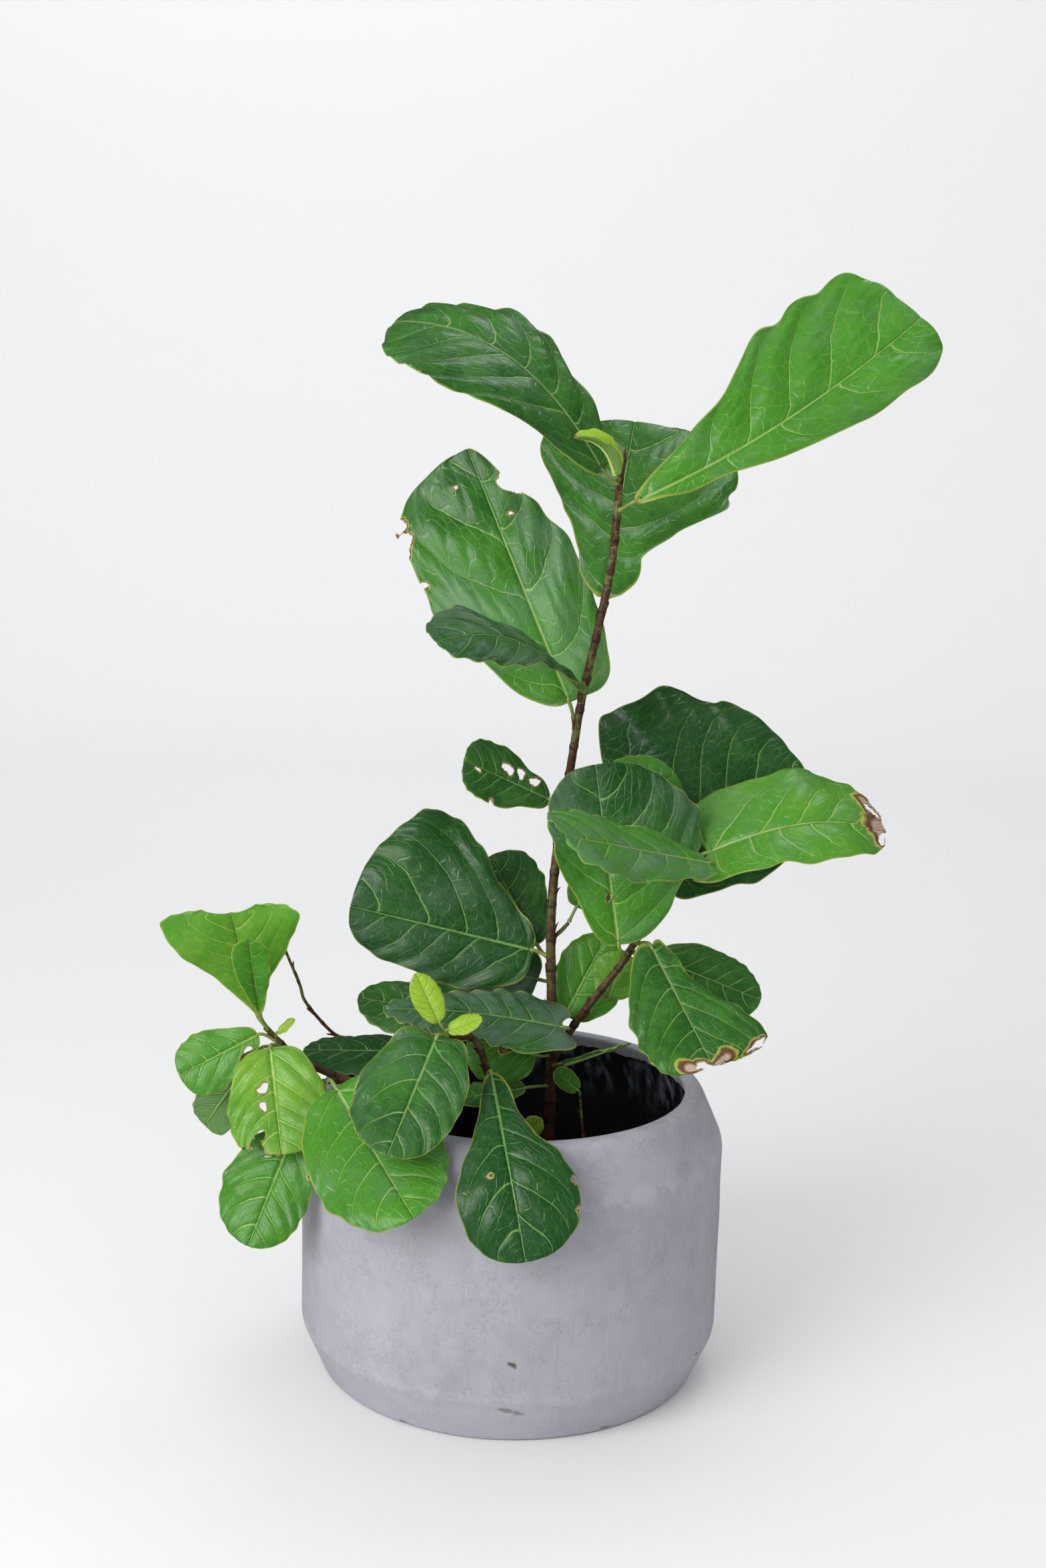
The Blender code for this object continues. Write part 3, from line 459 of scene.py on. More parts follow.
leaves = {
    "leaf_crown_right": dict(
        root=(0.079, 0.010, 0.815), base=(0.094, -0.006, 0.825), tip=(0.352, 0.050, 0.997),
        face=(-0.15, -0.85, 0.50), half=(0.100, 0.047), form=(1.15, 0.21, 0.10),
        left=(1, 1, 1, 1, 1.03, 0.97, 0.88, 0.90), sway=(0.06, 0.05), curl=(0, -25), quilt=0.015,
        fresh=0.42, dustAndSheen=0.95),
    "leaf_crown_left": dict(
        root=(0.079, 0.010, 0.838), base=(0.065, 0.000, 0.850), tip=(-0.128, 0.030, 0.979),
        face=(0.2, -0.6, 0.75), half=(0.082, 0.065), form=(0.80, 0.36, 0.06), bow=(0.18, 0.26),
        sway=(0.04, 0.04), curl=(0, -20), fresh=0.18, dustAndSheen=0.55),
    "leaf_crown_back": dict(
        root=(0.070, 0.010, 0.725), base=(0.069, 0.025, 0.737), tip=(0.101, 0.200, 0.896),
        face=(0, -0.69, 0.73), half=(0.102, 0.100), form=(1.25, 0.22, 0.08),
        left=(1.6, 1.3, 0.95, 0.82, 0.80, 0.85, 0.88, 0.90),
        right=(2.0, 1.5, 0.95, 1.05, 1.35, 1.16, 1.05, 1.0), lobe=0.08, fresh=(0.30, 0.22), dustAndSheen=0.20,
        veins=4),
    "leaf_upper_left": dict(
        root=(0.050, 0.010, 0.612), base=(0.041, 0.028, 0.636), tip=(-0.062, 0.100, 0.866),
        face=(-0.1, -0.9, 0.4), half=(0.092, 0.058), form=(0.85, 0.42, 0.0), formRight=(0.38, 0.66, 0.0),
        left=(1, 1, 1, 1.03, 0.98, 1.02, 1.08, 1), right=(1, 1, 1, 1.06, 1.06, 1.0, 0.72, 0.84),
        quilt=0.017, fresh=(0.46, 0.16), dustAndSheen=1.4, veins=4,
        cuts=((-1.0, 0.76, 0.011, 0.002), (-0.96, 0.83, 0.006, 0.002), (-0.98, 0.60, 0.004, 0.001),
              (1.0, 0.83, 0.011, 0.0006), (0.35, 0.72, 0.0024, 0.001), (-0.3, 0.88, 0.0022, 0.001))),
    "leaf_upper_front": dict(
        root=(0.055, 0.004, 0.648), base=(0.050, -0.010, 0.654), tip=(-0.078, -0.120, 0.706),
        face=(0, -0.42, 0.9), half=(0.050, 0.055), form=broad, bow=(0.14, 0.22), fresh=0.08, dustAndSheen=1.6),
    "leaf_right_back": dict(
        root=(0.150, 0.006, 0.484), base=(0.128, 0.065, 0.492), tip=(0.288, 0.140, 0.550),
        face=(0.0, -0.88, 0.45), half=(0.142, 0.070), form=(0.40, 0.48, 0.0),
        left=(1, 1.1, 1.08, 1, 1.04, 1), lobe=0.14, wave=0.09, fresh=0.06, dustAndSheen=0.25, veins=4),
    "leaf_centre_upright": dict(
        root=(0.103, 0.001, 0.402), base=(0.093, -0.028, 0.418), tip=(0.066, -0.018, 0.585),
        face=(0.12, -0.95, 0.3), half=(0.050, 0.098), form=broad,
        right=(1, 1, 1.02, 1.03, 0.95, 0.78, 0.70), fresh=(0.50, 0.02), dustAndSheen=1.3, veins=4,
        cuts=((-0.10, 0.27, 0.0035, 0.001),)),
    "leaf_right_front": dict(
        root=(0.156, 0.005, 0.488), base=(0.175, -0.022, 0.497), tip=(0.036, -0.160, 0.548),
        face=(0.1, -0.48, 0.86), half=(0.047, 0.050), form=(0.60, 0.26, 0.0), fresh=0.42, dustAndSheen=2.4),
    "leaf_right_out": dict(
        root=(0.158, 0.006, 0.496), base=(0.174, 0.000, 0.502), tip=(0.341, 0.010, 0.524),
        face=(0, -0.55, 0.8), half=(0.076, 0.044), form=(0.6, 0.42, 0.0), left=(1.4, 1.15, 1, 1, 1),
        right=(1.5, 1.2, 1.05, 1, 1), bow=(0.15, 0.24), lobe=0.22, fresh=0.52, dustAndSheen=0.8, veins=4,
        cuts=((0.5, 0.985, 0.007, 0.004), (-0.6, 0.97, 0.008, 0.004)),
        burns=((0.0, 1.0, 0.020), (-0.6, 0.95, 0.014), (0.5, 0.97, 0.012))),
    "leaf_centre_back": dict(
        root=(0.036, 0.010, 0.520), base=(0.062, 0.042, 0.506), tip=(0.145, 0.056, 0.566),
        half=(0.045, 0.048), fresh=0.30),
    "leaf_small_left": dict(
        root=(0.034, 0.010, 0.536), base=(0.025, 0.006, 0.547), tip=(-0.054, -0.030, 0.588),
        face=(0.1, -0.8, 0.6), half=(0.030, 0.033), form=broad, fresh=0.16, dustAndSheen=0.50,
        cuts=((0.35, 0.52, 0.0055, 0.0006), (0.50, 0.37, 0.0045, 0.0006), (0.55, 0.22, 0.0045, 0.0006),
              (-0.10, 0.84, 0.0030, 0.0006), (-1.0, 0.62, 0.004, 0.001))),
    "leaf_big_left": dict(
        root=(0.028, 0.004, 0.396), base=(0.014, 0.004, 0.402), tip=(-0.158, -0.006, 0.442),
        face=(0, -0.97, 0.28), half=(0.056, 0.104), form=(0.5, 0.42, 0.0),
        left=(1, 1, 0.97, 0.88, 0.80, 0.84, 0.95), right=(0.30, 0.42, 0.60, 0.86, 1.06, 1.10, 1.03, 1),
        quilt=0.013, fresh=0.06, dustAndSheen=0.75, veins=4),
    "leaf_behind_left": dict(
        root=(0.029, 0.004, 0.392), base=(0.018, 0.032, 0.400), tip=(-0.030, 0.085, 0.474),
        half=(0.050, 0.038), form=broad, fresh=0.10),
    "leaf_twig": dict(
        root=(0.047, 0.014, 0.426), base=(0.054, 0.018, 0.442), tip=(0.082, 0.020, 0.502),
        face=(0, -0.95, 0.3), half=(0.020, 0.040), fresh=0.36, veins=4,
        cuts=((0.40, 0.55, 0.0028, 0.002),)),
    "leaf_fork": dict(
        root=(0.034, 0.001, 0.324), base=(0.046, 0.008, 0.338), tip=(0.084, 0.034, 0.410),
        half=(0.030, 0.040), fresh=0.46, dustAndSheen=0.25, veins=4),
    "leaf_branch_small": dict(
        root=(0.078, 0.001, 0.360), base=(0.088, 0.010, 0.356), tip=(0.100, 0.020, 0.398),
        face=(0, -0.9, 0.3), half=(0.022, 0.024), fresh=0.55, dustAndSheen=0.15, veins=4),
    "leaf_right_drooping": dict(
        root=(0.112, -0.004, 0.412), base=(0.124, -0.025, 0.416), tip=(0.176, -0.120, 0.334),
        face=(0.1, -0.75, 0.65), half=(0.062, 0.050), form=wedge,
        left=(1.1, 0.72, 0.55, 0.66, 0.92, 1.06, 1), right=(1, 1.35, 1.40, 1.25, 1.12, 1, 1), lobe=0.14,
        fresh=0.20, cuts=((-0.9, 0.93, 0.006, 0.003), (0.2, 1.0, 0.007, 0.004)),
        burns=((0.5, 0.99, 0.012), (-0.3, 1.0, 0.015), (-0.85, 0.94, 0.010))),
    "leaf_right_low": dict(
        root=(0.106, 0.002, 0.404), base=(0.134, 0.012, 0.395), tip=(0.232, 0.010, 0.358),
        face=(0, -0.7, 0.7), half=(0.034, 0.036), fresh=0.20),
    "leaf_under_branch": dict(
        root=(0.040, -0.005, 0.290), base=(0.046, -0.020, 0.300), tip=(0.104, -0.060, 0.334),
        face=(0, 0.2, 0.95), half=(0.014, 0.014), fresh=0.40, dustAndSheen=0.15, veins=4),
    "leaf_shoot": dict(
        root=(0.061, -0.030, 0.272), base=(0.060, -0.034, 0.278), tip=(0.038, -0.042, 0.300),
        half=(0.010, 0.010), fresh=0.28, dustAndSheen=0.10, veins=4),
    "leaf_wide_front": dict(
        root=(0.034, 0.000, 0.330), base=(0.043, -0.050, 0.344), tip=(-0.121, -0.076, 0.364),
        face=(0, -0.35, 0.93), half=(0.034, 0.040), form=(0.25, 0.42, 0.0),
        left=(0.7, 1.35, 1.3, 1.1, 1, 1), right=(0.6, 1.1, 0.95, 0.85, 0.8, 0.9), bow=(0.04, 0.06),
        lobe=0.16, ruffle=0.016, fresh=0.12, dustAndSheen=2.6, veins=6),
    "leaf_left_back": dict(
        root=(0.030, 0.001, 0.335), base=(-0.010, 0.012, 0.328), tip=(-0.152, 0.020, 0.346),
        face=(0, -0.6, 0.8), half=(0.036, 0.033), fresh=0.16, dustAndSheen=0.40),
    "leaf_shaded_back": dict(
        root=(0.030, 0.003, 0.372), base=(0.020, 0.045, 0.362), tip=(-0.096, 0.100, 0.374),
        face=(0, -0.8, 0.55), half=(0.050, 0.040), fresh=0.0, dustAndSheen=3.0),
    "leaf_dark_left": dict(
        root=(-0.074, 0.005, 0.280), base=(-0.078, 0.014, 0.296), tip=(-0.204, 0.022, 0.292),
        face=(0, -0.21, 0.98), half=(0.044, 0.034), fresh=0.04, dustAndSheen=0.20),
    "leaf_under_wide": dict(
        root=(0.034, 0.000, 0.300), base=(0.020, -0.022, 0.307), tip=(-0.045, -0.022, 0.322),
        half=(0.036, 0.018), fresh=0.36, veins=4, cuts=((0.0, 0.45, 0.0030, 0.004),)),
    "leaf_front_glossy": dict(
        root=(-0.060, -0.116, 0.350), base=(-0.070, -0.130, 0.356), tip=(-0.106, -0.216, 0.278),
        face=(-0.1, -0.85, 0.5), half=(0.051, 0.051), left=(1, 0.9, 0.9, 0.88, 0.85, 0.88), lobe=0.12,
        quilt=0.016, fresh=0.18, dustAndSheen=0.95, veins=4),
    "leaf_in_pot": dict(
        root=(0.034, 0.000, 0.270), base=(0.010, -0.026, 0.276), tip=(-0.058, -0.034, 0.266),
        face=(0, -0.3, 0.9), half=(0.016, 0.020), fresh=0.20, veins=4),
    "leaf_front_hanging": dict(
        root=(-0.024, -0.088, 0.310), base=(-0.021, -0.110, 0.318), tip=(0.014, -0.240, 0.196),
        half=(0.054, 0.047), form=fiddle, left=(0.8, 0.70, 0.60, 0.68, 0.90, 1.06, 1.06, 1),
        right=(0.8, 0.72, 0.70, 0.80, 0.97, 1.06, 1.05, 1), bow=(0.16, 0.26), fresh=0.0, dustAndSheen=0.12,
        cuts=((-1.0, 0.70, 0.004, 0.001), (-1.0, 0.84, 0.003, 0.001)), burns=((0.35, 0.62, 0.0040),)),
    "leaf_far_left_top": dict(
        root=(-0.228, -0.035, 0.326), base=(-0.242, -0.030, 0.342), tip=(-0.262, -0.060, 0.446),
        face=(-0.1, -1.0, 0.0), half=(0.066, 0.064), form=(1.5, 0.14, 0.0), fold=(34, 14), notch=0.075,
        fresh=0.58, dustAndSheen=0.15),
    "leaf_far_left_young": dict(
        root=(-0.230, -0.035, 0.328), base=(-0.236, -0.054, 0.350), tip=(-0.241, -0.096, 0.430),
        face=(0, -0.9, 0.3), half=(0.0175, 0.0175), form=(0.95, 0.30, 0.05), fold=(40, 10), fresh=0.38,
        dustAndSheen=0.0),
    "leaf_far_left_bud": dict(
        root=(-0.224, -0.035, 0.320), base=(-0.221, -0.044, 0.330), tip=(-0.205, -0.052, 0.344),
        face=(0, -0.5, 0.9), half=(0.008, 0.008), form=bud, fresh=1.0, dustAndSheen=0.0, veins=4),
    "leaf_far_left_side": dict(
        root=(-0.222, -0.035, 0.316), base=(-0.240, -0.040, 0.325), tip=(-0.311, -0.052, 0.288),
        half=(0.031, 0.028), form=broad, fresh=0.46, dustAndSheen=0.20, veins=4,
        cuts=((-0.80, 0.24, 0.0065, 0.0005),)),
    "leaf_far_left_holes": dict(
        root=(-0.216, -0.035, 0.310), base=(-0.226, -0.058, 0.318), tip=(-0.208, -0.112, 0.236),
        half=(0.047, 0.045), form=(0.50, 0.34, 0.0), quilt=0.018, fresh=0.62, dustAndSheen=0.15, veins=4,
        cuts=((0.25, 0.37, 0.0048, 0.0006), (0.27, 0.54, 0.0038, 0.0006), (0.42, 0.80, 0.0045, 0.0006),
              (0.60, 0.88, 0.0060, 0.0006), (0.85, 0.95, 0.0065, 0.0006))),
    "leaf_far_left_back": dict(
        root=(-0.214, -0.034, 0.310), base=(-0.242, -0.020, 0.303), tip=(-0.292, -0.020, 0.228),
        face=(0.6, 0.75, 0.1), half=(0.026, 0.026), form=(0.9, 0.30, 0.0), fresh=0.30, dustAndSheen=0.20),
    "leaf_left_low": dict(
        root=(-0.195, -0.066, 0.270), base=(-0.202, -0.084, 0.244), tip=(-0.237, -0.122, 0.152),
        face=(-0.2, -0.9, 0.3), half=(0.038, 0.047), fresh=0.38, dustAndSheen=0.45, veins=4,
        burns=((-0.92, 0.30, 0.0040),)),
    "leaf_front_low": dict(
        root=(-0.175, -0.054, 0.284), base=(-0.160, -0.110, 0.300), tip=(-0.082, -0.232, 0.230),
        face=(0, -0.8, 0.5), half=(0.058, 0.061), quilt=0.008, fresh=0.44, dustAndSheen=1.1, veins=4),
    "leaf_front_bud": dict(
        root=(-0.060, -0.116, 0.352), base=(-0.068, -0.122, 0.368), tip=(-0.090, -0.120, 0.411),
        face=(0.2, -0.9, 0.3), half=(0.014, 0.014), form=bud, fresh=0.90, dustAndSheen=0.0),
    "leaf_front_small": dict(
        root=(-0.054, -0.112, 0.352), base=(-0.060, -0.128, 0.363), tip=(-0.030, -0.135, 0.376),
        face=(0, -0.6, 0.8), half=(0.011, 0.011), form=bud, fresh=0.92, dustAndSheen=0.0, veins=4),
    "leaf_pot_shoot": dict(
        root=(-0.010, -0.056, 0.205), base=(0.010, -0.066, 0.245), tip=(0.026, -0.072, 0.262),
        half=(0.010, 0.010), form=bud, fresh=0.80, dustAndSheen=0.0, veins=4),
    "leaf_apex_young": dict(
        root=(0.080, 0.010, 0.843), base=(0.076, -0.008, 0.848), tip=(0.036, -0.025, 0.880),
        face=(0.2, -0.5, 0.8), half=(0.011, 0.012), form=(0.55, 0.45, 0.0), bow=(0.22, 0.36),
        fold=(58, 30), curl=(30, 30), fresh=1.0, dustAndSheen=0.0, veins=4, burns=((0.0, 1.0, 0.004),)),
}

# What a leaf has unless its own line says otherwise.
usualLeaf = {
    "face": (0, -0.9, 0.4),  # the way the upper side looks
    "form": rounded,
    "formRight": None,       # the right half's form where it differs
    "left": (1, 1),          # wider or narrower along each half, from base to tip
    "right": (1, 1),
    "bow": (0, 0),           # lift of the midrib near the base and near the tip
    "sway": (0, 0),          # and its swing sideways
    "fold": (8, 0),          # degrees that the halves stand up from the midrib, at base and tip
    "curl": (-15, -15),      # degrees that the left and right half roll
    "lobe": 0.06,            # how far the base reaches back past the stalk
    "notch": 0.0,            # how far the tip's shoulders reach forward
    "wave": 0.05,            # slow waves of the margin
    "quilt": 0.0125,         # height of the pillows between side veins, as a part of the length
    "ruffle": 0.009,         # lift of the margin between vein ends, the same way
    "dustAndSheen": 0.30,            # dust on the blade, partly a painted sheen
    "veins": 5,
    "cuts": (),
    "burns": (),
}

youngLeaves = ("leaf_branch_small", "leaf_far_left_young", "leaf_far_left_bud", "leaf_front_bud",
               "leaf_front_small", "leaf_apex_young")

bladeMesh = {
    "cell": 0.0020,      # mesh size of a blade
    "scallop": 0.034,    # how far the outline swells between vein ends
    "unevenRim": 0.030,  # and how far it wanders besides
    "ladder": 0.0150,    # gap of the cross veins that dimple each pillow
    "crease": 0.0008,    # depth of the channel over the midrib
    "veinLean": 0.66,    # side veins: forward run for each unit outwards
    "veinBend": 0.50,    # and how far they swing forward at the margin, in half widths
    "veinStart": 0.02,   # first side vein and the gap of all of them, as parts of the length
    "veinRun": 0.82,
    "veinSwing": 0.27,   # how far the veins wander, as a part of their gap
    "stagger": 0.24,     # right veins ahead of left ones
    "fan": 40,           # degrees between the veins that fan out from the base
    "waves": 2.5,
    "sag": 0.006,
    "crumple": 0.0012,   # of dry spots
    "tipEnd": 0.99995,
    "firstSeed": 40,
    "stalkRows": 12,
    "stalkSides": 8,
}


def unit(vector):
    return vector / np.linalg.norm(vector)


def easedValues(values, t):
    place = np.clip(t, 0.0, 1.0) * (len(values) - 1)
    first = np.minimum(place.astype(int), len(values) - 2)
    part = place - first
    part = part * part * (3.0 - 2.0 * part)
    values = np.array(values, float)
    return values[first] * (1.0 - part) + values[first + 1] * part


def outline(form, v):
    fill, blunt, waist = form

    def width(t):
        return t ** fill * (1.0 - t) ** blunt * (1.0 - waist * np.exp(-(((t - 0.30) / 0.14) ** 2)))

    return width(v) / width(np.linspace(0.0, 1.0, 101)).max()


def bladeLength(spec):
    return np.linalg.norm(np.array(spec["tip"]) - np.array(spec["base"]))


def midrib(spec, v):
    base, tip = np.array(spec["base"]), np.array(spec["tip"])
    length = np.linalg.norm(tip - base)
    along = (tip - base) / length
    face = np.array(spec["face"], float)
    up = unit(face - along * face.dot(along))
    side = np.cross(along, up)
    near, far = 3 * (1 - v) ** 2 * v, 3 * (1 - v) * v ** 2
    slopeNear, slopeFar = 3 * (1 - v) * (1 - 3 * v), 3 * v * (2 - 3 * v)
    bow, sway = spec["bow"], spec["sway"]
    point = base + length * (np.outer(v, along) + np.outer(near * bow[0] + far * bow[1], up)
                             + np.outer(near * sway[0] + far * sway[1], side))
    run = (along + np.outer(slopeNear * bow[0] + slopeFar * bow[1], up)
           + np.outer(slopeNear * sway[0] + slopeFar * sway[1], side))
    run /= np.linalg.norm(run, axis=1)[:, None]
    normal = up - run * (run @ up)[:, None]
    normal /= np.linalg.norm(normal, axis=1)[:, None]
    return point, run, np.cross(run, normal), normal


# Half width at u, v in metres, before the small swellings between vein ends.
def halfWidth(spec, u, v):
    half = np.where(u < 0, spec["half"][0], spec["half"][1])
    share = np.where(u < 0, outline(spec["form"], v), outline(spec["formRight"] or spec["form"], v))
    trim = np.where(u < 0, easedValues(spec["left"], v), easedValues(spec["right"], v))
    return np.maximum(half * share * trim, petioleRadius)


# Which side vein a spot lies on (whole numbers are veins) and how far apart the veins are there.
def veinFlow(spec, u, v, width):
    length = bladeLength(spec)
    pitch = bladeMesh["veinRun"] * length / spec["veins"]
    start = bladeMesh["veinStart"] * length
    out = np.abs(u) * width
    forward = v * length - start - bladeMesh["veinBend"] * width * np.abs(u) ** 3.5
    swing = bladeMesh["veinSwing"] * pitch
    forward = forward + swing * np.sin(5.0 * v + 97 * length + np.sign(u)) * np.clip(v * 5, 0, 1)
    phase = (forward - bladeMesh["veinLean"] * out) / pitch
    firstAngle = math.atan2(1.0, bladeMesh["veinLean"])
    fan = math.radians(bladeMesh["fan"])
    angle = np.arctan2(out, forward)
    radial = -(angle - firstAngle) / fan
    low = phase < 0
    phase = np.where(low, radial, phase)
    spacing = np.where(low, np.hypot(out, forward) * fan, pitch)
    stagger = bladeMesh["stagger"] * np.sign(u) * out / (out + 0.004)
    return phase + stagger, np.clip(spacing, 0.002, pitch)


# Middle surface of a blade at u (-1 left margin, 1 right margin) and v (0 base, 1 tip).
def bladeSurface(spec, u, v, seed):
    point, run, right, normal = midrib(spec, v)
    length = bladeLength(spec)
    out = np.abs(u)
    half = np.where(u < 0, spec["half"][0], spec["half"][1])
    width = halfWidth(spec, u, v)
    edgePhase = veinFlow(spec, np.sign(u), v, width)[0]
    width = width * (1.0 + bladeMesh["scallop"] * out ** 2 * (np.sin(math.pi * edgePhase) ** 2 - 0.5)
                     * np.clip(v * 8, 0, 1))
    wander = 0.5 * np.sin(19.0 * v + seed) + 0.3 * np.sin(41.0 * v + 2.0 * seed + np.sign(u))
    width = width * (1.0 + bladeMesh["unevenRim"] * wander * out ** 2 * np.clip(v * 8, 0, 1))
    phase, pitch = veinFlow(spec, u, v, width)
    fold = np.radians(spec["fold"][0] * (1 - v) + spec["fold"][1] * v)
    roll = np.radians(np.where(u < 0, *spec["curl"])) + 1e-4
    across = width * (np.sin(fold + roll * out) - np.sin(fold)) / roll
    lift = width * (np.cos(fold) - np.cos(fold + roll * out)) / roll
    wave = spec["wave"] * np.minimum(half, width) * out ** 2
    lift = lift + wave * np.sin(2 * math.pi * (bladeMesh["waves"] * v + 0.25 * np.sign(u)) + length * 40)
    # pillows between the veins, a channel over the rib and a ruffled margin
    reach = out * width
    pillow = np.abs(np.sin(math.pi * phase)) ** 1.3
    pillow = pillow * (1 - np.exp(-(reach / 0.012) ** 2)) * (1 - 0.6 * out ** 4)
    bend = 0.55 * np.sin(2.7 * phase + seed) + 0.40 * np.sin(9.0 * v + 3.0 * u + 2.0 * seed)
    dimples = np.abs(np.sin(math.pi * (reach / bladeMesh["ladder"] + bend)))
    pillow = pillow * (0.80 + 0.34 * dimples * np.clip(reach / 0.015, 0, 1))
    lift = lift + spec["quilt"] * length * pillow * np.clip((1 - v) * 9, 0, 1)
    lift = lift - bladeMesh["crease"] * np.exp(-(reach / 0.0028) ** 2)
    ruffle = spec["ruffle"] * length * out ** 4
    lift = lift - ruffle * np.cos(2 * math.pi * phase + seed) * np.clip(v * 6, 0, 1)
    sag = bladeMesh["sag"] * length * np.minimum(1.0, reach / 0.02)
    dips = np.sin(5.3 * v + 2.1 * u + seed * 1.7) + 0.6 * np.sin(11.0 * v - 3.7 * u + seed * 2.9)
    lift = lift + sag * dips
    lobeRun = v / 0.13
    back = spec["lobe"] * length * out ** 2 * lobeRun * np.exp(1 - lobeRun)
    notch = spec["notch"] * length * out ** 2 * v ** 6
    place = (point + right * (np.sign(u) * across)[:, None] + normal * lift[:, None]
             + run * (notch - back)[:, None])
    return place, phase, pitch, np.sign(u) * reach


def smoothRun(run, parts=2):
    path = [Vector(point) for point in run]
    ends = [path[0] * 2 - path[1]] + path + [path[-1] * 2 - path[-2]]
    points = []
    for index in range(1, len(ends) - 2):
        a, b, c, d = ends[index - 1:index + 3]
        for step in range(parts):
            t = step / parts
            points.append(0.5 * ((2 * b) + (c - a) * t + (2 * a - 5 * b + 4 * c - d) * t * t
                                 + (3 * b - a - 3 * c + d) * t ** 3))
    return np.array([tuple(point) for point in points + [path[-1]]])


# The stem point nearest to a leaf's root, with the stem's radius there.
def nearestBark(root):
    nearest = None
    for runs in stems.values():
        for run in runs:
            line = smoothRun(run)
            for a, b in zip(line[:-1], line[1:]):
                span = b[:3] - a[:3]
                part = np.clip((root - a[:3]).dot(span) / span.dot(span), 0.0, 1.0)
                spot = a + (b - a) * part
                away = np.linalg.norm(root - spot[:3])
                if nearest is None or away < nearest[0]:
                    nearest = (away, spot)
    return nearest[1]


# Centre line of the stalk, from inside the bark to the foot of the blade.
def stalkLine(spec, steps):
    point, run, right = midrib(spec, np.zeros(1))[:3]
    base = point[0]
    spot = nearestBark(np.array(spec["root"]))
    heading = unit(base - spot[:3])
    root = spot[:3] + heading * spot[3] * 0.7
    reach = np.linalg.norm(base - root)
    a, b = root + (base - root) * 0.35, base - run[0] * reach * 0.35
    t = np.linspace(0.0, 1.0, steps)
    return (np.outer((1 - t) ** 3, root) + np.outer(3 * (1 - t) ** 2 * t, a)
            + np.outer(3 * (1 - t) * t ** 2, b) + np.outer(t ** 3, base)), right[0], reach


# Rings of points round a line, and the faces of the closed tube through them.
def tube(line, radii, sides, lean=None):
    ahead = np.gradient(line, axis=0)
    ahead /= np.linalg.norm(ahead, axis=1)[:, None]
    side = np.zeros_like(line)
    last = np.array(lean if lean is not None else (0.3, 0.9, 0.2), float)
    for index, way in enumerate(ahead):
        last = unit(last - way * last.dot(way))
        side[index] = last
    other = np.cross(ahead, side)
    turn = 2 * math.pi * np.arange(sides) / sides
    radii = np.array(radii, float)
    if radii.ndim == 1:
        radii = radii[:, None] * np.ones(sides)
    rings = (line[:, None, :] + side[:, None, :] * (np.cos(turn) * radii)[:, :, None]
             + other[:, None, :] * (np.sin(turn) * radii)[:, :, None])
    count = len(line)
    index = np.arange(count * sides).reshape(count, sides)
    after = np.roll(index, -1, axis=1)
    quads = np.stack([index[:-1], after[:-1], after[1:], index[1:]], axis=-1).reshape(-1, 4)
    start, end = count * sides, count * sides + 1
    points = np.vstack([rings.reshape(-1, 3), line[:1], line[-1:]])
    caps = [[start, after[0][k], index[0][k]] for k in range(sides)]
    caps += [[end, index[-1][k], after[-1][k]] for k in range(sides)]
    return points, quads.tolist() + caps


def makePiece(name, points, faces, kept, surface, nodes):
    mesh = bpy.data.meshes.new(name)
    mesh.from_pydata(np.asarray(points).tolist(), [], faces)
    for label, values in kept.items():
        layer = mesh.attributes.new(label, "FLOAT_VECTOR", "POINT")
        layer.data.foreach_set("vector", np.asarray(values, np.float32).ravel())
    mesh.validate()
    mesh.shade_smooth()
    mesh.materials.append(surface)
    piece = bpy.data.objects.new(name, mesh)
    bpy.context.scene.collection.objects.link(piece)
    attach(piece, "root")
    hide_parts(*nodes)


def rowsOf(spec):
    steps = np.linspace(0.0, 1.0, 1201)
    length = bladeLength(spec)
    half = max(spec["half"])
    share = outline(spec["form"], steps)
    rise = np.hypot(np.diff(steps) * length, 0.5 * half * np.diff(share))
    run = np.concatenate([[0.0], np.cumsum(rise)])
    rows = max(14, int(round(run[-1] / bladeMesh["cell"])))
    rows = np.interp(np.linspace(0.0, run[-1], rows + 1), run, steps)
    rows[-1] = bladeMesh["tipEnd"]
    return rows


def columnsOf(spec):
    parts = []
    for half in spec["half"]:
        count = max(5, int(math.ceil(half / bladeMesh["cell"])))
        parts.append(np.linspace(0.0, 1.0, count + 1) ** 1.12)
    return np.concatenate([-parts[0][::-1], parts[1][1:]])


# Holes, bites and dry spots: cuts opens the sheet round a spot, and burns only colours it.
def openHoles(spec, u, v, quads, rng):
    length = bladeLength(spec)
    width = halfWidth(spec, u, v)
    burnt = np.zeros(len(u))
    gone = np.zeros(len(u), bool)
    for place, height, size, dry in spec["cuts"]:
        dx, dy = (u - place) * width, (v - height) * length
        away = np.hypot(dx, dy) + 1e-9
        angle = np.arctan2(dy, dx)
        shape = 1.0
        for lobes, depth in ((2, 0.22), (3, 0.14), (7, 0.05)):
            shape = shape + depth * np.sin(lobes * angle + rng.uniform(0, 6))
        reach = size * shape
        inside = away < reach
        gone |= inside
        factor = np.minimum(np.where(inside, reach / away, 1.0), 6.0)
        u = np.clip(place + (u - place) * factor, -1.0, 1.0)
        v = np.clip(height + (v - height) * factor, 0.0, bladeMesh["tipEnd"])
        burnt = np.maximum(burnt, np.exp(-np.maximum(away - reach, 0.0) / dry))
    for place, height, size in spec["burns"]:
        away = np.hypot((u - place) * width, (v - height) * length)
        burnt = np.maximum(burnt, (0.5 + 45 * size) * np.exp(-(away / size) ** 2))
    return u, v, quads[~gone[quads].all(axis=1)], burnt


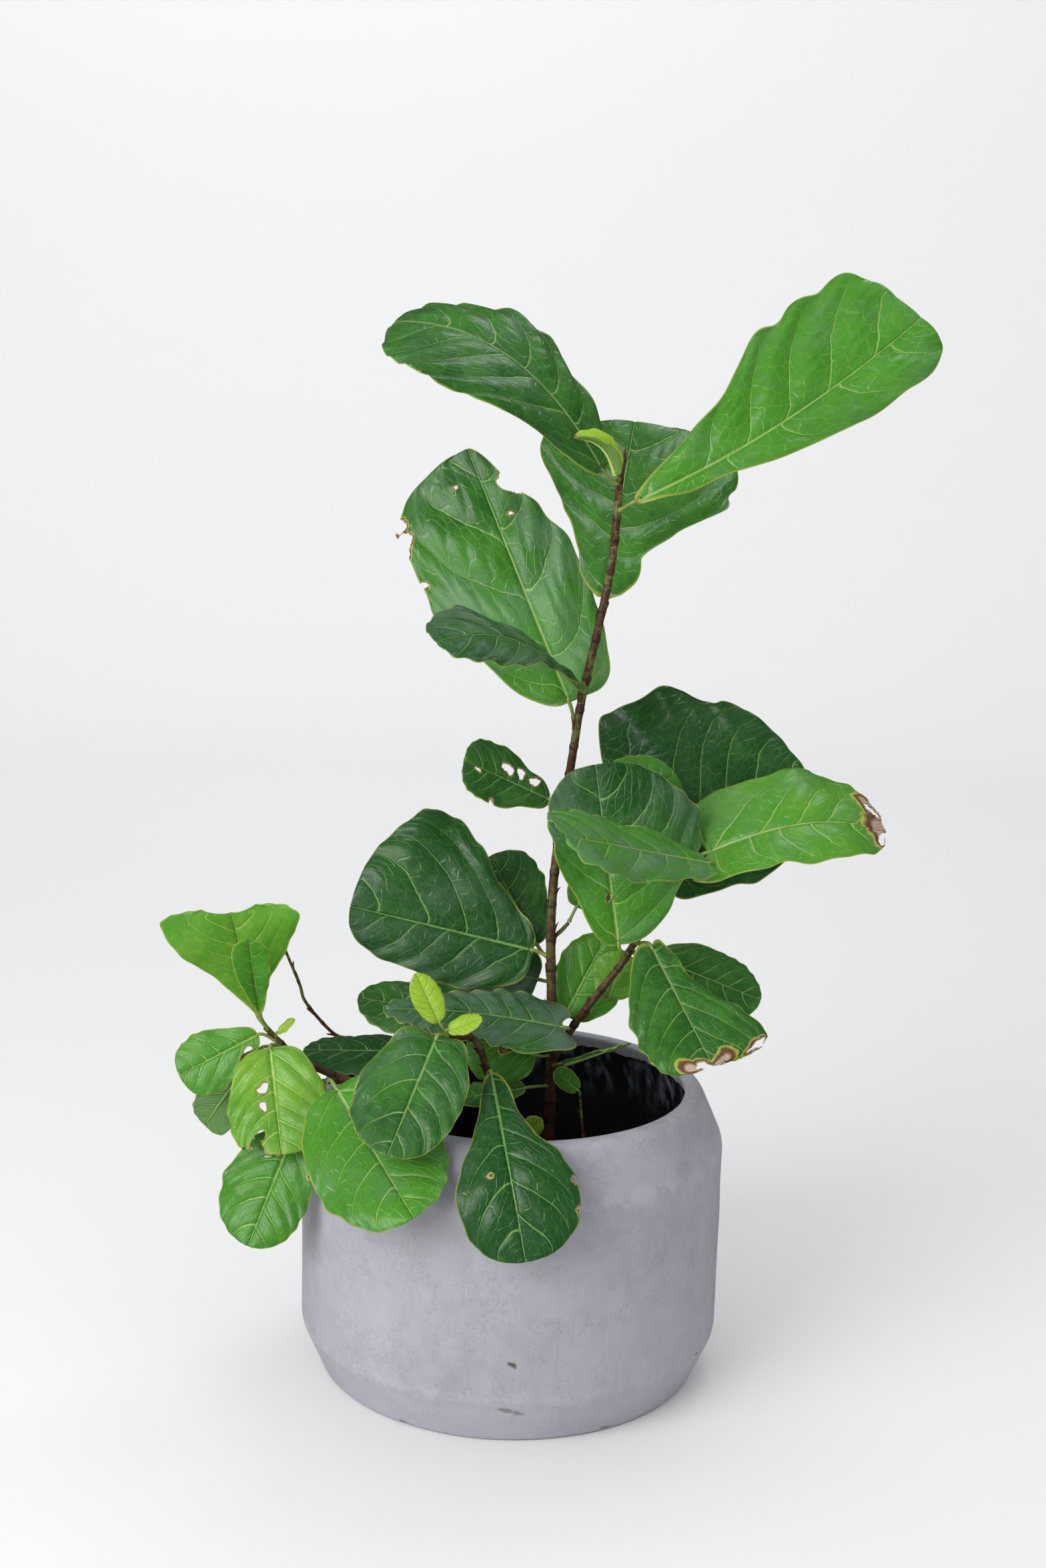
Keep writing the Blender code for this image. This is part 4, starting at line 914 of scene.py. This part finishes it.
def makeLeaf(name, spec, number, surface):
    rng = np.random.default_rng(bladeMesh["firstSeed"] + number)
    seed = rng.uniform(0.0, 6.28)
    rows, columns = rowsOf(spec), columnsOf(spec)
    v, u = (grid.ravel() for grid in np.meshgrid(rows, columns, indexing="ij"))
    index = np.arange(len(u)).reshape(len(rows), len(columns))
    quads = np.stack([index[:-1, :-1], index[:-1, 1:], index[1:, 1:], index[1:, :-1]], axis=-1)
    quads = quads.reshape(-1, 4)
    u, v, quads, burnt = openHoles(spec, u, v, quads, rng)
    place, phase, pitch, reach = bladeSurface(spec, u, v, seed)
    # normals of the sheet from its own grid
    grid = place.reshape(len(rows), len(columns), 3)
    out = np.cross(np.gradient(grid, axis=1), np.gradient(grid, axis=0)).reshape(-1, 3)
    out /= np.linalg.norm(out, axis=1)[:, None] + 1e-12
    crumple = np.clip(burnt, 0, 1) * bladeMesh["crumple"] * np.sin(phase * 23 + reach * 900)
    place = place + out * crumple[:, None]
    thick = bladeThickness * (0.35 + 0.65 * np.clip((1 - np.abs(u)) * 10, 0, 1)) * 0.5
    count = len(place)
    points = np.vstack([place + out * thick[:, None], place - out * thick[:, None]])
    edges = np.concatenate([quads[:, [0, 1]], quads[:, [1, 2]], quads[:, [2, 3]], quads[:, [3, 0]]])
    codes = edges[:, 0] * count + edges[:, 1]
    border = edges[~np.isin(codes, edges[:, 1] * count + edges[:, 0])]
    rim = np.stack([border[:, 0], border[:, 0] + count, border[:, 1] + count, border[:, 1]], axis=-1)
    faces = np.vstack([quads, quads[:, ::-1] + count, rim]).tolist()
    used = np.unique(np.array([corner for face in faces for corner in face]))
    veins = np.stack([phase, pitch, reach], axis=-1)
    edge = np.stack([np.abs(u), v, burnt], axis=-1)
    fresh = np.interp(v, [0.0, 1.0], np.broadcast_to(spec["fresh"], 2))
    tone = np.stack([fresh, np.full(count, spec["dustAndSheen"]), np.zeros(count)], axis=-1)
    below = tone.copy()
    below[:, 2] = 1.0
    renumber = np.full(2 * count, -1)
    renumber[used] = np.arange(len(used))
    faces = [[int(renumber[corner]) for corner in face] for face in faces]
    points = points[used]
    veins, edge = np.vstack([veins, veins])[used], np.vstack([edge, edge])[used]
    tone = np.vstack([tone, below])[used]
    # stalk and the rib that stands out under the blade
    line, lean, reach = stalkLine(spec, bladeMesh["stalkRows"])
    ribAlong = np.linspace(0.02, 0.95, max(10, int(bladeLength(spec) / 0.005)))
    centre = bladeSurface(spec, np.full(len(ribAlong), 1e-6), ribAlong, seed)[0]
    normal = midrib(spec, ribAlong)[3]
    slim = min(1.0, 0.45 + bladeLength(spec) / 0.18)
    ribRadius = slim * (petioleRadius * (1 - ribAlong) ** 0.8 + 0.0003)
    centre = centre - normal * (ribRadius - 0.0002)[:, None]
    share = np.linspace(0.0, 1.0, len(line))
    flare = 1.0 + 0.45 * np.exp(-((share * max(reach, 0.004)) / 0.0028) ** 2)
    stalkRadius = slim * petioleRadius * flare * (1.0 - 0.08 * np.sin(math.pi * share))
    path, radii = np.vstack([line, centre]), np.concatenate([stalkRadius, ribRadius])
    ribPoints, ribFaces = tube(path, radii, bladeMesh["stalkSides"], lean)
    marks = np.concatenate([np.linspace(-0.30, -0.03, len(line)), ribAlong])   # below 0 is stalk
    marks = np.concatenate([np.repeat(marks, bladeMesh["stalkSides"]), [-0.3, 0.95]])
    shift = len(points)
    points = np.vstack([points, ribPoints])
    faces += [[corner + shift for corner in face] for face in ribFaces]
    extra = len(ribPoints)
    veins = np.vstack([veins, np.tile([0.5, 0.03, 0.0], (extra, 1))])
    edge = np.vstack([edge, np.stack([np.zeros(extra), marks, np.zeros(extra)], axis=-1)])
    tone = np.vstack([tone, np.tile([fresh[0], spec["dustAndSheen"] * 0.4, 0.0], (extra, 1))])
    kept = {"veins": veins, "edges": edge, "age": tone}
    makePiece(name.replace("leaf_", "blade_"), points, faces, kept, surface, [name])


barkSkin = {
    "brown": (0.038, 0.012, 0.007),
    "pale": (0.095, 0.040, 0.020),
    "green": (0.150, 0.170, 0.045),
    "dark": (0.009, 0.0035, 0.0028),
    "sheath": (0.170, 0.050, 0.022),
    "reliefDepth": 0.0008,
}

stemMesh = {
    "slim": 0.80,        # bark inside its solid
    "step": 0.0013,
    "sides": 20,
    "nodeGap": 0.030,    # between leaf scars
    "nodeSwell": 0.16,   # as a part of the radius
    "ridge": 0.00025,
    "greenBelow": (0.0050, 0.0022),   # thin wood is green, thinner wood more so
    "greenAbove": 0.45,  # and so is the trunk above this height
    "nodeLength": 0.0028,
    "scar": (0.0022, 0.0009),    # a dark ring just under the node: distance and half length
    "upperScar": (0.0030, 0.0007),
    "lumps": 160,
    "firstSeed": 200,
}

sheath = {
    "length": (0.007, 0.016),
    "lift": (0.0010, 0.0038),
    "thickness": 0.0003,
    "gap": (0.014, 0.036),
    "cells": 9,          # points each way
}


def makeBarkMaterial():
    look = barkSkin
    made, tree, shader, where = newMaterial("bark")
    node, green = carried(tree, "growth")[1:]
    patches = useGroup(tree, drift, where=where, scale=45.0)["patches"]
    film = useGroup(tree, dust, where=where, scale=60.0, amount=0.20)["dust"]
    corky = useGroup(tree, pits, where=where, scale=420.0, size=0.5)["pits"]
    fibre = cloud(tree, stretched(tree, where, (900.0, 900.0, 130.0)), 1.0, 4.0, 0.6)
    rings = cloud(tree, stretched(tree, where, (60.0, 60.0, 900.0)), 1.0, 3.0, 0.6)
    colour = blendColours(tree, patches, look["brown"], look["pale"])
    share = times(tree, green, remap(tree, calc(tree, "ADD", patches, rings), 1.12, 0.90))
    colour = blendColours(tree, share, colour, look["green"])
    for mask, strength, tone in ((remap(tree, fibre, 0.55, 0.75), 0.5, "dark"), (corky, 0.40, "pale"),
                                 (node, 0.85, "dark"), (film, 0.5, "pale")):
        colour = tinted(tree, colour, mask, strength, look[tone])
    sheathColour = blendColours(tree, fibre, look["dark"], look["sheath"])
    colour = blendColours(tree, remap(tree, green, -0.2, -0.6), colour, sheathColour)
    feed(tree, shader.inputs["Base Color"], colour)
    feed(tree, shader.inputs["Roughness"], calc(tree, "MULTIPLY_ADD", green, -0.18, 0.55, clamp=True))
    shader.inputs["Specular IOR Level"].default_value = 0.35
    height = calc(tree, "ADD", times(tree, fibre, 0.35), times(tree, rings, 0.40))
    emboss(tree, shader, calc(tree, "MULTIPLY_ADD", corky, 0.3, height), look["reliefDepth"])
    return made


# One woody run: a tube with swollen nodes, a dark scar under each and small ridges along it.
def stemTube(run, rng, branch):
    coarse = smoothRun(run, 6)
    length = np.concatenate([[0.0], np.cumsum(np.linalg.norm(np.diff(coarse[:, :3], axis=0), axis=1))])
    count = int(length[-1] / stemMesh["step"])
    along = np.linspace(0.0, length[-1], count)
    line = np.stack([np.interp(along, length, coarse[:, axis]) for axis in range(4)], axis=-1)
    line[:, 3] *= stemMesh["slim"]
    sides = stemMesh["sides"]
    turn = 2 * math.pi * np.arange(sides) / sides
    nodes, scar = np.zeros(count), np.zeros(count)
    (lowGap, lowReach), (highGap, highReach) = stemMesh["scar"], stemMesh["upperScar"]
    place = rng.uniform(0.010, 0.028)
    while place < length[-1] - 0.006:
        nodes += np.exp(-((along - place) / stemMesh["nodeLength"]) ** 2) * rng.uniform(0.6, 1.2)
        scar += np.exp(-((along - place + lowGap) / lowReach) ** 2)
        scar += 0.6 * np.exp(-((along - place - highGap) / highReach) ** 2)
        place += stemMesh["nodeGap"] * rng.uniform(0.6, 1.25)
    knots = 1.0 + stemMesh["nodeSwell"] * nodes - 0.05 * scar
    knots = knots + 0.45 * np.exp(-(along / 0.0045) ** 2) * branch
    around = 0.004 * np.stack([np.cos(turn), np.sin(turn), np.zeros(sides)], axis=-1)
    lumps = np.array([[noise.noise(Vector((point + way) * stemMesh["lumps"])) for way in around]
                      for point in line[:, :3]])
    ridges = stemMesh["ridge"] * (lumps + 0.4 * np.sin(turn * 5 + along[:, None] * 40))
    radii = line[:, 3:4] * knots[:, None] + ridges * np.minimum(1.0, line[:, 3:4] / 0.003)
    points, faces = tube(line[:, :3], radii, sides)
    thick, thinnest = stemMesh["greenBelow"]
    thin = (line[:, 3] < thick) * 0.55 + (line[:, 3] < thinnest) * 0.45
    young = np.clip(thin + (line[:, 2] - stemMesh["greenAbove"]) * 0.9, 0.0, 1.0)
    young = young * (1 - np.clip(nodes, 0, 1) * 0.6)
    kept = np.stack([along, np.clip(scar + nodes * 0.25, 0, 1), young], axis=-1)
    kept = np.vstack([np.repeat(kept, sides, axis=0), kept[:1], kept[-1:]])
    return points, faces, kept, line, along


# Dry sheaths left at the leaf scars: small curved scales that stand off the bark towards their tips.
def sheathScales(line, along, rng):
    points, faces, kept = [], [], []
    place = rng.uniform(0.008, 0.020)
    while place < along[-1] - 0.012:
        row = int(np.searchsorted(along, place))
        spot, ahead = line[row, :3], unit(line[row + 1, :3] - line[row - 1, :3])
        side = unit(np.cross(ahead, (0.3, 0.9, 0.2)))
        other = np.cross(ahead, side)
        length = rng.uniform(*sheath["length"]) * min(1.0, 0.4 + line[row, 3] / 0.006)
        middle, spread = rng.uniform(0, 2 * math.pi), math.radians(rng.uniform(28, 55))
        lift = rng.uniform(*sheath["lift"])
        cells = np.linspace(0, 1, sheath["cells"])
        t, a = (grid.ravel() for grid in np.meshgrid(cells, 2 * cells - 1, indexing="ij"))
        angle = middle + a * spread * (1 - t ** 1.6 * 0.93) + 0.25 * t
        layers = []
        for thick in (0.0, sheath["thickness"]):
            radius = line[row, 3] * (1.02 - 0.10 * (t < 0.05)) + lift * t ** 2 + thick
            layers.append(spot + np.outer(t * length, ahead) + side * (np.cos(angle) * radius)[:, None]
                          + other * (np.sin(angle) * radius)[:, None])
        count = len(t)
        index = np.arange(count).reshape(len(cells), -1)
        quads = np.stack([index[:-1, :-1], index[1:, :-1], index[1:, 1:], index[:-1, 1:]], axis=-1)
        quads = quads.reshape(-1, 4)
        border = np.concatenate([index[0], index[1:, -1], index[-1, -2::-1], index[-2:0:-1, 0]])
        after = np.roll(border, -1)
        rim = np.stack([border, border + count, after + count, after], axis=-1)
        scale = np.vstack([quads, quads[:, ::-1] + count, rim[:, ::-1]]) + 2 * count * len(points)
        points.append(np.vstack(layers))
        faces += scale.tolist()
        kept.append(np.tile([place, 0.0, -1.0], (2 * count, 1)))
        place += rng.uniform(*sheath["gap"])
    return points, faces, kept


def makeStem(name, runs, number, surface):
    rng = np.random.default_rng(stemMesh["firstSeed"] + number)
    points, faces, kept, shift = [], [], [], 0
    for index, run in enumerate(runs):
        spots, quads, marks, line, along = stemTube(run, rng, 1.0 if index else 0.0)
        points.append(spots)
        kept.append(marks)
        faces += [[corner + shift for corner in face] for face in quads]
        shift += len(spots)
        spots, quads, marks = sheathScales(line, along, rng)
        faces += [[corner + shift for corner in face] for face in quads]
        points += spots
        kept += marks
        shift += sum(len(part) for part in spots)
    growth = {"growth": np.vstack(kept)}
    makePiece(name + "_wood", np.vstack(points), faces, growth, surface, [name])


planter = {
    "radius": 0.200,
    "height": 0.275,
    "baseRadius": 0.180,
    "bevel": 0.045,
    "shoulder": 0.226,
    "rimOuter": 0.178,
    "rimInner": 0.161,
    "wall": 0.022,
    "floor": 0.022,
    "turns": 360,
    "rows": 0.0025,
    "bends": (0.015, 0.018, 0.005, 0.008, 0.006, 0.005, 0.004),   # rounding of each corner, inside to foot
    "bendSteps": 9,
    "uneven": 0.0005,
}

# chips and dents: angle in degrees from the right side, height, size and depth
planterChips = [
    (-88.5, 0.082, 0.0064, 0.0014), (-89.6, 0.037, 0.0080, 0.0018), (-86.6, 0.034, 0.0074, 0.0018),
    (-120.0, 0.002, 0.0050, 0.0012), (-60.0, 0.003, 0.0060, 0.0014), (12.0, 0.045, 0.0060, 0.0015),
    (75.0, 0.225, 0.0060, 0.0014), (140.0, 0.040, 0.0060, 0.0015), (100.0, 0.110, 0.0050, 0.0010),
    (170.0, 0.272, 0.0045, 0.0012), (-28.0, 0.046, 0.0045, 0.0010),
]

concreteSkin = {
    "body": (0.318, 0.320, 0.366),
    "light": (0.48, 0.485, 0.540),
    "smudge": (0.20, 0.180, 0.185),
    "chip": (0.115, 0.095, 0.090),
    "coating": (0.010, 0.011, 0.014),
    # a pale bluish painted highlight on the black coating, standing in for its reflections
    "coatingHighlight": (0.200, 0.225, 0.280),
    "coatingEdge": 0.012,   # how far below the lip the coating begins
    "highlightReach": (0.075, 0.015),   # painted highlight, strongest near the lip
    "paintedBounceHeight": (0.056, 0.030),     # the foot is painted paler below this, a painted bounce light from the floor
    "reliefDepth": 0.0007,
}


def makeConcreteMaterial():
    look = concreteSkin
    made, tree, shader, where = newMaterial("concrete")
    inside, edge, chipped = carried(tree, "cast")
    patches = useGroup(tree, drift, where=where, scale=9.0)["patches"]
    mottle = useGroup(tree, drift, where=where, scale=60.0)["patches"]
    film = useGroup(tree, dust, where=where, scale=18.0, amount=0.6)["dust"]
    holes = useGroup(tree, pits, where=where, scale=260.0, size=0.42)["pits"]
    flecks = useGroup(tree, pits, where=where, scale=520.0, size=0.50)["pits"]
    streaks = cloud(tree, stretched(tree, where, (150.0, 150.0, 9.0)), 1.0, 5.0, 0.62)
    scratch = remap(tree, cloud(tree, stretched(tree, where, (420.0, 420.0, 26.0)), 1.0, 2.0), 0.64, 0.70)
    edgeWear = times(tree, edge, remap(tree, mottle, 0.3, 0.8))
    colour = look["body"]
    for mask, strength, tone in (
            (patches, 0.50, "light"), (mottle, 0.22, "light"),
            (remap(tree, streaks, 0.50, 0.75), 0.10, "smudge"), (film, 0.10, "smudge"),
            (scratch, 0.25, "light"), (flecks, 0.06, "smudge"), (holes, 0.10, "smudge"),
            (edgeWear, 0.35, "light")):
        colour = tinted(tree, colour, mask, strength, look[tone])
    colour = blendColours(tree, remap(tree, chipped, 0.0, 0.5), colour, look["chip"])
    # painted light: the foot is lightened where it faces the floor, standing in for light bounced up from
    # it
    level = put(tree, "SeparateXYZ")
    feed(tree, level.inputs[0], where)
    foot = remap(tree, level.outputs[2], *look["paintedBounceHeight"])
    colour = tinted(tree, colour, foot, 0.45, look["light"])
    # the inside is brushed with a black coating down from the lip
    brushed = cloud(tree, stretched(tree, where, (70.0, 70.0, 18.0)), 1.0, 3.0)
    painted = calc(tree, "MULTIPLY_ADD", calc(tree, "SUBTRACT", brushed, 0.5), 0.010, inside)
    painted = remap(tree, painted, look["coatingEdge"] * 0.92, look["coatingEdge"])
    strokes = cloud(tree, stretched(tree, where, (120.0, 120.0, 50.0)), 1.0, 3.0)
    # painted highlight: pale strokes on the coating near the lip, standing in for its reflections
    paintedHighlight = times(tree, remap(tree, strokes, 0.40, 0.66), remap(tree, brushed, 0.40, 0.60))
    paintedHighlight = times(tree, paintedHighlight, remap(tree, inside, *look["highlightReach"]))
    coating = blendColours(tree, paintedHighlight, look["coating"], look["coatingHighlight"])
    feed(tree, shader.inputs["Base Color"], blendColours(tree, painted, colour, coating))
    rough = calc(tree, "MULTIPLY_ADD", film, -0.12, 0.72)
    gloss = calc(tree, "MULTIPLY_ADD", brushed, 0.30, 0.22)
    feed(tree, shader.inputs["Roughness"], blendNumbers(tree, painted, rough, gloss))
    height = calc(tree, "MULTIPLY_ADD", streaks, 0.30, times(tree, mottle, 0.12))
    height = calc(tree, "MULTIPLY_ADD", cloud(tree, where, 700.0, 4.0, 0.6), 0.22, height)
    height = calc(tree, "MULTIPLY_ADD", scratch, -0.18, height)
    sunk = calc(tree, "MAXIMUM", holes, times(tree, flecks, 0.3))
    height = calc(tree, "MULTIPLY_ADD", sunk, -0.32, height)
    height = blendNumbers(tree, painted, height, times(tree, strokes, 1.3))
    emboss(tree, shader, height, look["reliefDepth"])
    return made


def blendNumbers(tree, share, first, second):
    left = times(tree, first, calc(tree, "SUBTRACT", 1.0, share))
    return calc(tree, "MULTIPLY_ADD", second, share, left)


def cornerArc(before, corner, after, radius, steps):
    start = (Vector(before) - Vector(corner)).normalized() * radius
    end = (Vector(after) - Vector(corner)).normalized() * radius
    points = []
    for step in range(steps + 1):
        t = step / steps
        first = (Vector(corner) + start).lerp(Vector(corner), t)
        points.append(tuple(first.lerp(Vector(corner).lerp(Vector(corner) + end, t), t)))
    return points


def easedProfile(corners, radii, steps):
    points = [corners[0]]
    for index in range(1, len(corners) - 1):
        points += cornerArc(corners[index - 1], corners[index], corners[index + 1], radii[index - 1], steps)
    return points + [corners[-1]]


def evenlyCut(points, gap):
    made = [points[0]]
    for a, b in zip(points[:-1], points[1:]):
        parts = max(1, int(math.dist(a, b) / gap))
        made += [tuple(np.array(a) + (np.array(b) - np.array(a)) * (k + 1) / parts) for k in range(parts)]
    return made


# Faces through closed rings of points, with a fan at each end to the two points after them.
def ringFaces(count, turns):
    index = np.arange(count * turns).reshape(count, turns)
    after = np.roll(index, -1, axis=1)
    faces = np.stack([index[:-1], index[1:], after[1:], after[:-1]], axis=-1).reshape(-1, 4).tolist()
    faces += [[count * turns, index[0][k], after[0][k]] for k in range(turns)]
    return faces + [[count * turns + 1, after[-1][k], index[-1][k]] for k in range(turns)]


# A solid turned about the upright axis: profile points are (radius, height), from axis to axis.
def lathe(profile, turns, shift):
    count = len(profile) - 2
    turn = 2 * math.pi * np.arange(turns) / turns
    radius = np.array([r for r, z in profile[1:-1]])[:, None] * np.ones(turns)
    height = np.array([z for r, z in profile[1:-1]])[:, None] * np.ones(turns)
    radius, height = shift(radius, height, turn[None, :] * np.ones((count, 1)))
    rings = np.stack([radius * np.cos(turn), radius * np.sin(turn), height], axis=-1)
    points = np.vstack([rings.reshape(-1, 3), [[0, 0, profile[0][1]], [0, 0, profile[-1][1]]]])
    return points, ringFaces(count, turns)


def makePlanter(surface):
    size = planter
    wallIn = size["radius"] - size["wall"]
    corners = [(0.0, size["floor"]), (wallIn, size["floor"]), (wallIn, size["shoulder"] - 0.006),
               (size["rimInner"], size["height"]), (size["rimOuter"], size["height"]),
               (size["radius"], size["shoulder"]), (size["radius"], size["bevel"]),
               (size["baseRadius"], 0.0), (0.0, 0.0)]
    profile = evenlyCut(easedProfile(corners, size["bends"], size["bendSteps"]), size["rows"])
    heights = np.array([z for r, z in profile[1:-1]])
    radii = np.array([r for r, z in profile[1:-1]])
    turningPoint = int(np.argmax(heights + 1e-6 * radii))
    outer = np.arange(len(heights)) >= turningPoint
    chips = np.zeros((len(heights), size["turns"]))

    def shift(radius, height, turn):
        waves = np.zeros_like(radius)
        for at in np.ndindex(radius.shape):
            spot = Vector((radius[at] * math.cos(turn[at]) * 14, radius[at] * math.sin(turn[at]) * 14,
                           height[at] * 18))
            waves[at] = noise.noise(spot) + 0.45 * noise.noise(spot * 3.1)
        sign = np.where(outer, 1.0, -1.0)[:, None]
        radius = radius + sign * size["uneven"] * waves * np.clip(radius / 0.05, 0, 1)
        for angle, level, reach, depth in planterChips:
            apart = (turn - math.radians(angle) + math.pi) % (2 * math.pi) - math.pi
            away = np.hypot(apart * radius, 2.9 * (height - level) + 0.5 * apart * radius) / reach
            away = away * (1 + 0.5 * waves)
            bite = np.clip(1 - away ** 2, 0, 1) ** 0.7 * outer[:, None]
            radius = radius - depth * bite
            chips[:] = np.maximum(chips, bite)
        return radius, height

    points, faces = lathe(profile, size["turns"], shift)
    inner = np.where(outer, 0.0, np.clip(size["height"] - heights, 0, 1))
    bends = np.zeros(len(heights))
    for level, reach in ((size["height"], 0.006), (size["shoulder"], 0.008),
                         (size["bevel"], 0.008), (0.0, 0.005)):
        bends = np.maximum(bends, np.exp(-((heights - level) / reach) ** 2) * outer)
    kept = np.stack([*np.repeat([inner, bends], size["turns"], axis=1), chips.ravel()], axis=-1)
    kept = np.vstack([kept, [[size["height"], 0, 0], [0, 0, 0]]])
    makePiece("planter_cast", points, faces, {"cast": kept}, surface, ["pot"])


ground = {
    "top": 0.150,
    "radius": 0.1776,
    "bottom": 0.0224,
    "edgeLow": 0.05,     # the block narrows below this
    "corner": 0.016,
    "turns": 220,
    "rings": 90,
    "lumps": 0.0050,
    "clods": 420,
    "clodSize": (0.0012, 0.0048),
    "seed": 7,
}

earthSkin = {
    "dark": (0.010, 0.0075, 0.006),
    "brown": (0.045, 0.030, 0.020),
    "reliefDepth": 0.0012,
}


def makeEarthMaterial():
    look = earthSkin
    made, tree, shader, where = newMaterial("earth")
    patches = useGroup(tree, drift, where=where, scale=40.0)["patches"]
    grains = useGroup(tree, pits, where=where, scale=380.0, size=0.6)["pits"]
    crumbs = cloud(tree, where, 420.0, 5.0, 0.7)
    colour = blendColours(tree, remap(tree, crumbs, 0.40, 0.65), look["dark"], look["brown"])
    colour = blendColours(tree, times(tree, patches, 0.5), colour, look["dark"])
    colour = blendColours(tree, times(tree, grains, 0.4), colour, look["brown"])
    feed(tree, shader.inputs["Base Color"], colour)
    feed(tree, shader.inputs["Roughness"], calc(tree, "MULTIPLY_ADD", patches, -0.15, 0.97))
    emboss(tree, shader, calc(tree, "MULTIPLY_ADD", grains, 0.5, crumbs), look["reliefDepth"])
    return made


def groundLevel(x, y):
    spot = Vector((x * 26, y * 26, 3.0))
    rough = noise.fractal(spot, 0.9, 2.1, 5)
    fine = noise.noise(Vector((x * 210, y * 210, 1.0)))
    return ground["top"] + ground["lumps"] * rough + 0.0009 * fine - 0.002 * (math.hypot(x, y) / 0.17) ** 2


def makeSoil(surface):
    size = ground
    rng = np.random.default_rng(size["seed"])
    radii = np.linspace(0.0, size["radius"], size["rings"] + 1)[1:]
    turn = 2 * math.pi * np.arange(size["turns"]) / size["turns"]
    points = [(r * math.cos(a), r * math.sin(a), groundLevel(r * math.cos(a), r * math.sin(a)))
              for r in radii for a in turn]
    foot = size["radius"] - size["corner"]
    for radius, height in ((size["radius"], size["edgeLow"]), (foot, size["bottom"])):
        points += [(radius * math.cos(a), radius * math.sin(a), height) for a in turn]
    points += [(0.0, 0.0, groundLevel(0.0, 0.0)), (0.0, 0.0, size["bottom"])]
    faces = ringFaces(len(radii) + 2, size["turns"])
    ball, ballFaces = roundClod()
    for clod in range(size["clods"]):
        reach = size["radius"] * 0.97 * math.sqrt(rng.uniform(0, 1))
        angle = rng.uniform(0, 2 * math.pi)
        x, y = reach * math.cos(angle), reach * math.sin(angle)
        scale = rng.uniform(*size["clodSize"]) * rng.uniform(0.5, 1.0)
        squeeze = rng.uniform(0.6, 1.3, 3) * scale
        lift = groundLevel(x, y) + 0.35 * scale
        shift = len(points)
        bumps = 1 + 0.25 * np.sin(ball @ rng.uniform(-4, 4, (3, 3))).mean(axis=1)
        points += (ball * bumps[:, None] * squeeze + np.array([x, y, lift])).tolist()
        faces += [[corner + shift for corner in face] for face in ballFaces]
    makePiece("soil_bed", points, faces, {}, surface, ["soil"])


def roundClod():
    ball = bmesh.new()
    bmesh.ops.create_icosphere(ball, subdivisions=2, radius=1.0)
    points = np.array([tuple(spot.co) for spot in ball.verts])
    faces = [[corner.index for corner in face.verts] for face in ball.faces]
    ball.free()
    return points, faces


bark, concrete, earth = makeBarkMaterial(), makeConcreteMaterial(), makeEarthMaterial()
greens = {
    "leaf_green": makeLeafMaterial("leaf_green", sideWidth=0.00072, dustSheenAmount=0.22),
    "young_green": makeLeafMaterial("young_green", sideWidth=0.0006, dustSheenAmount=0.15),
}
print("materials ready")

for number, (name, spec) in enumerate(leaves.items()):
    slot = "young_green" if name in youngLeaves else "leaf_green"
    makeLeaf(name, {**usualLeaf, **spec}, number, greens[slot])
print("leaves ready:", len(leaves))

for number, (name, runs) in enumerate(stems.items()):
    makeStem(name, runs, number, bark)
print("stems ready")

makePlanter(concrete)
makeSoil(earth)
print("planter and soil ready")
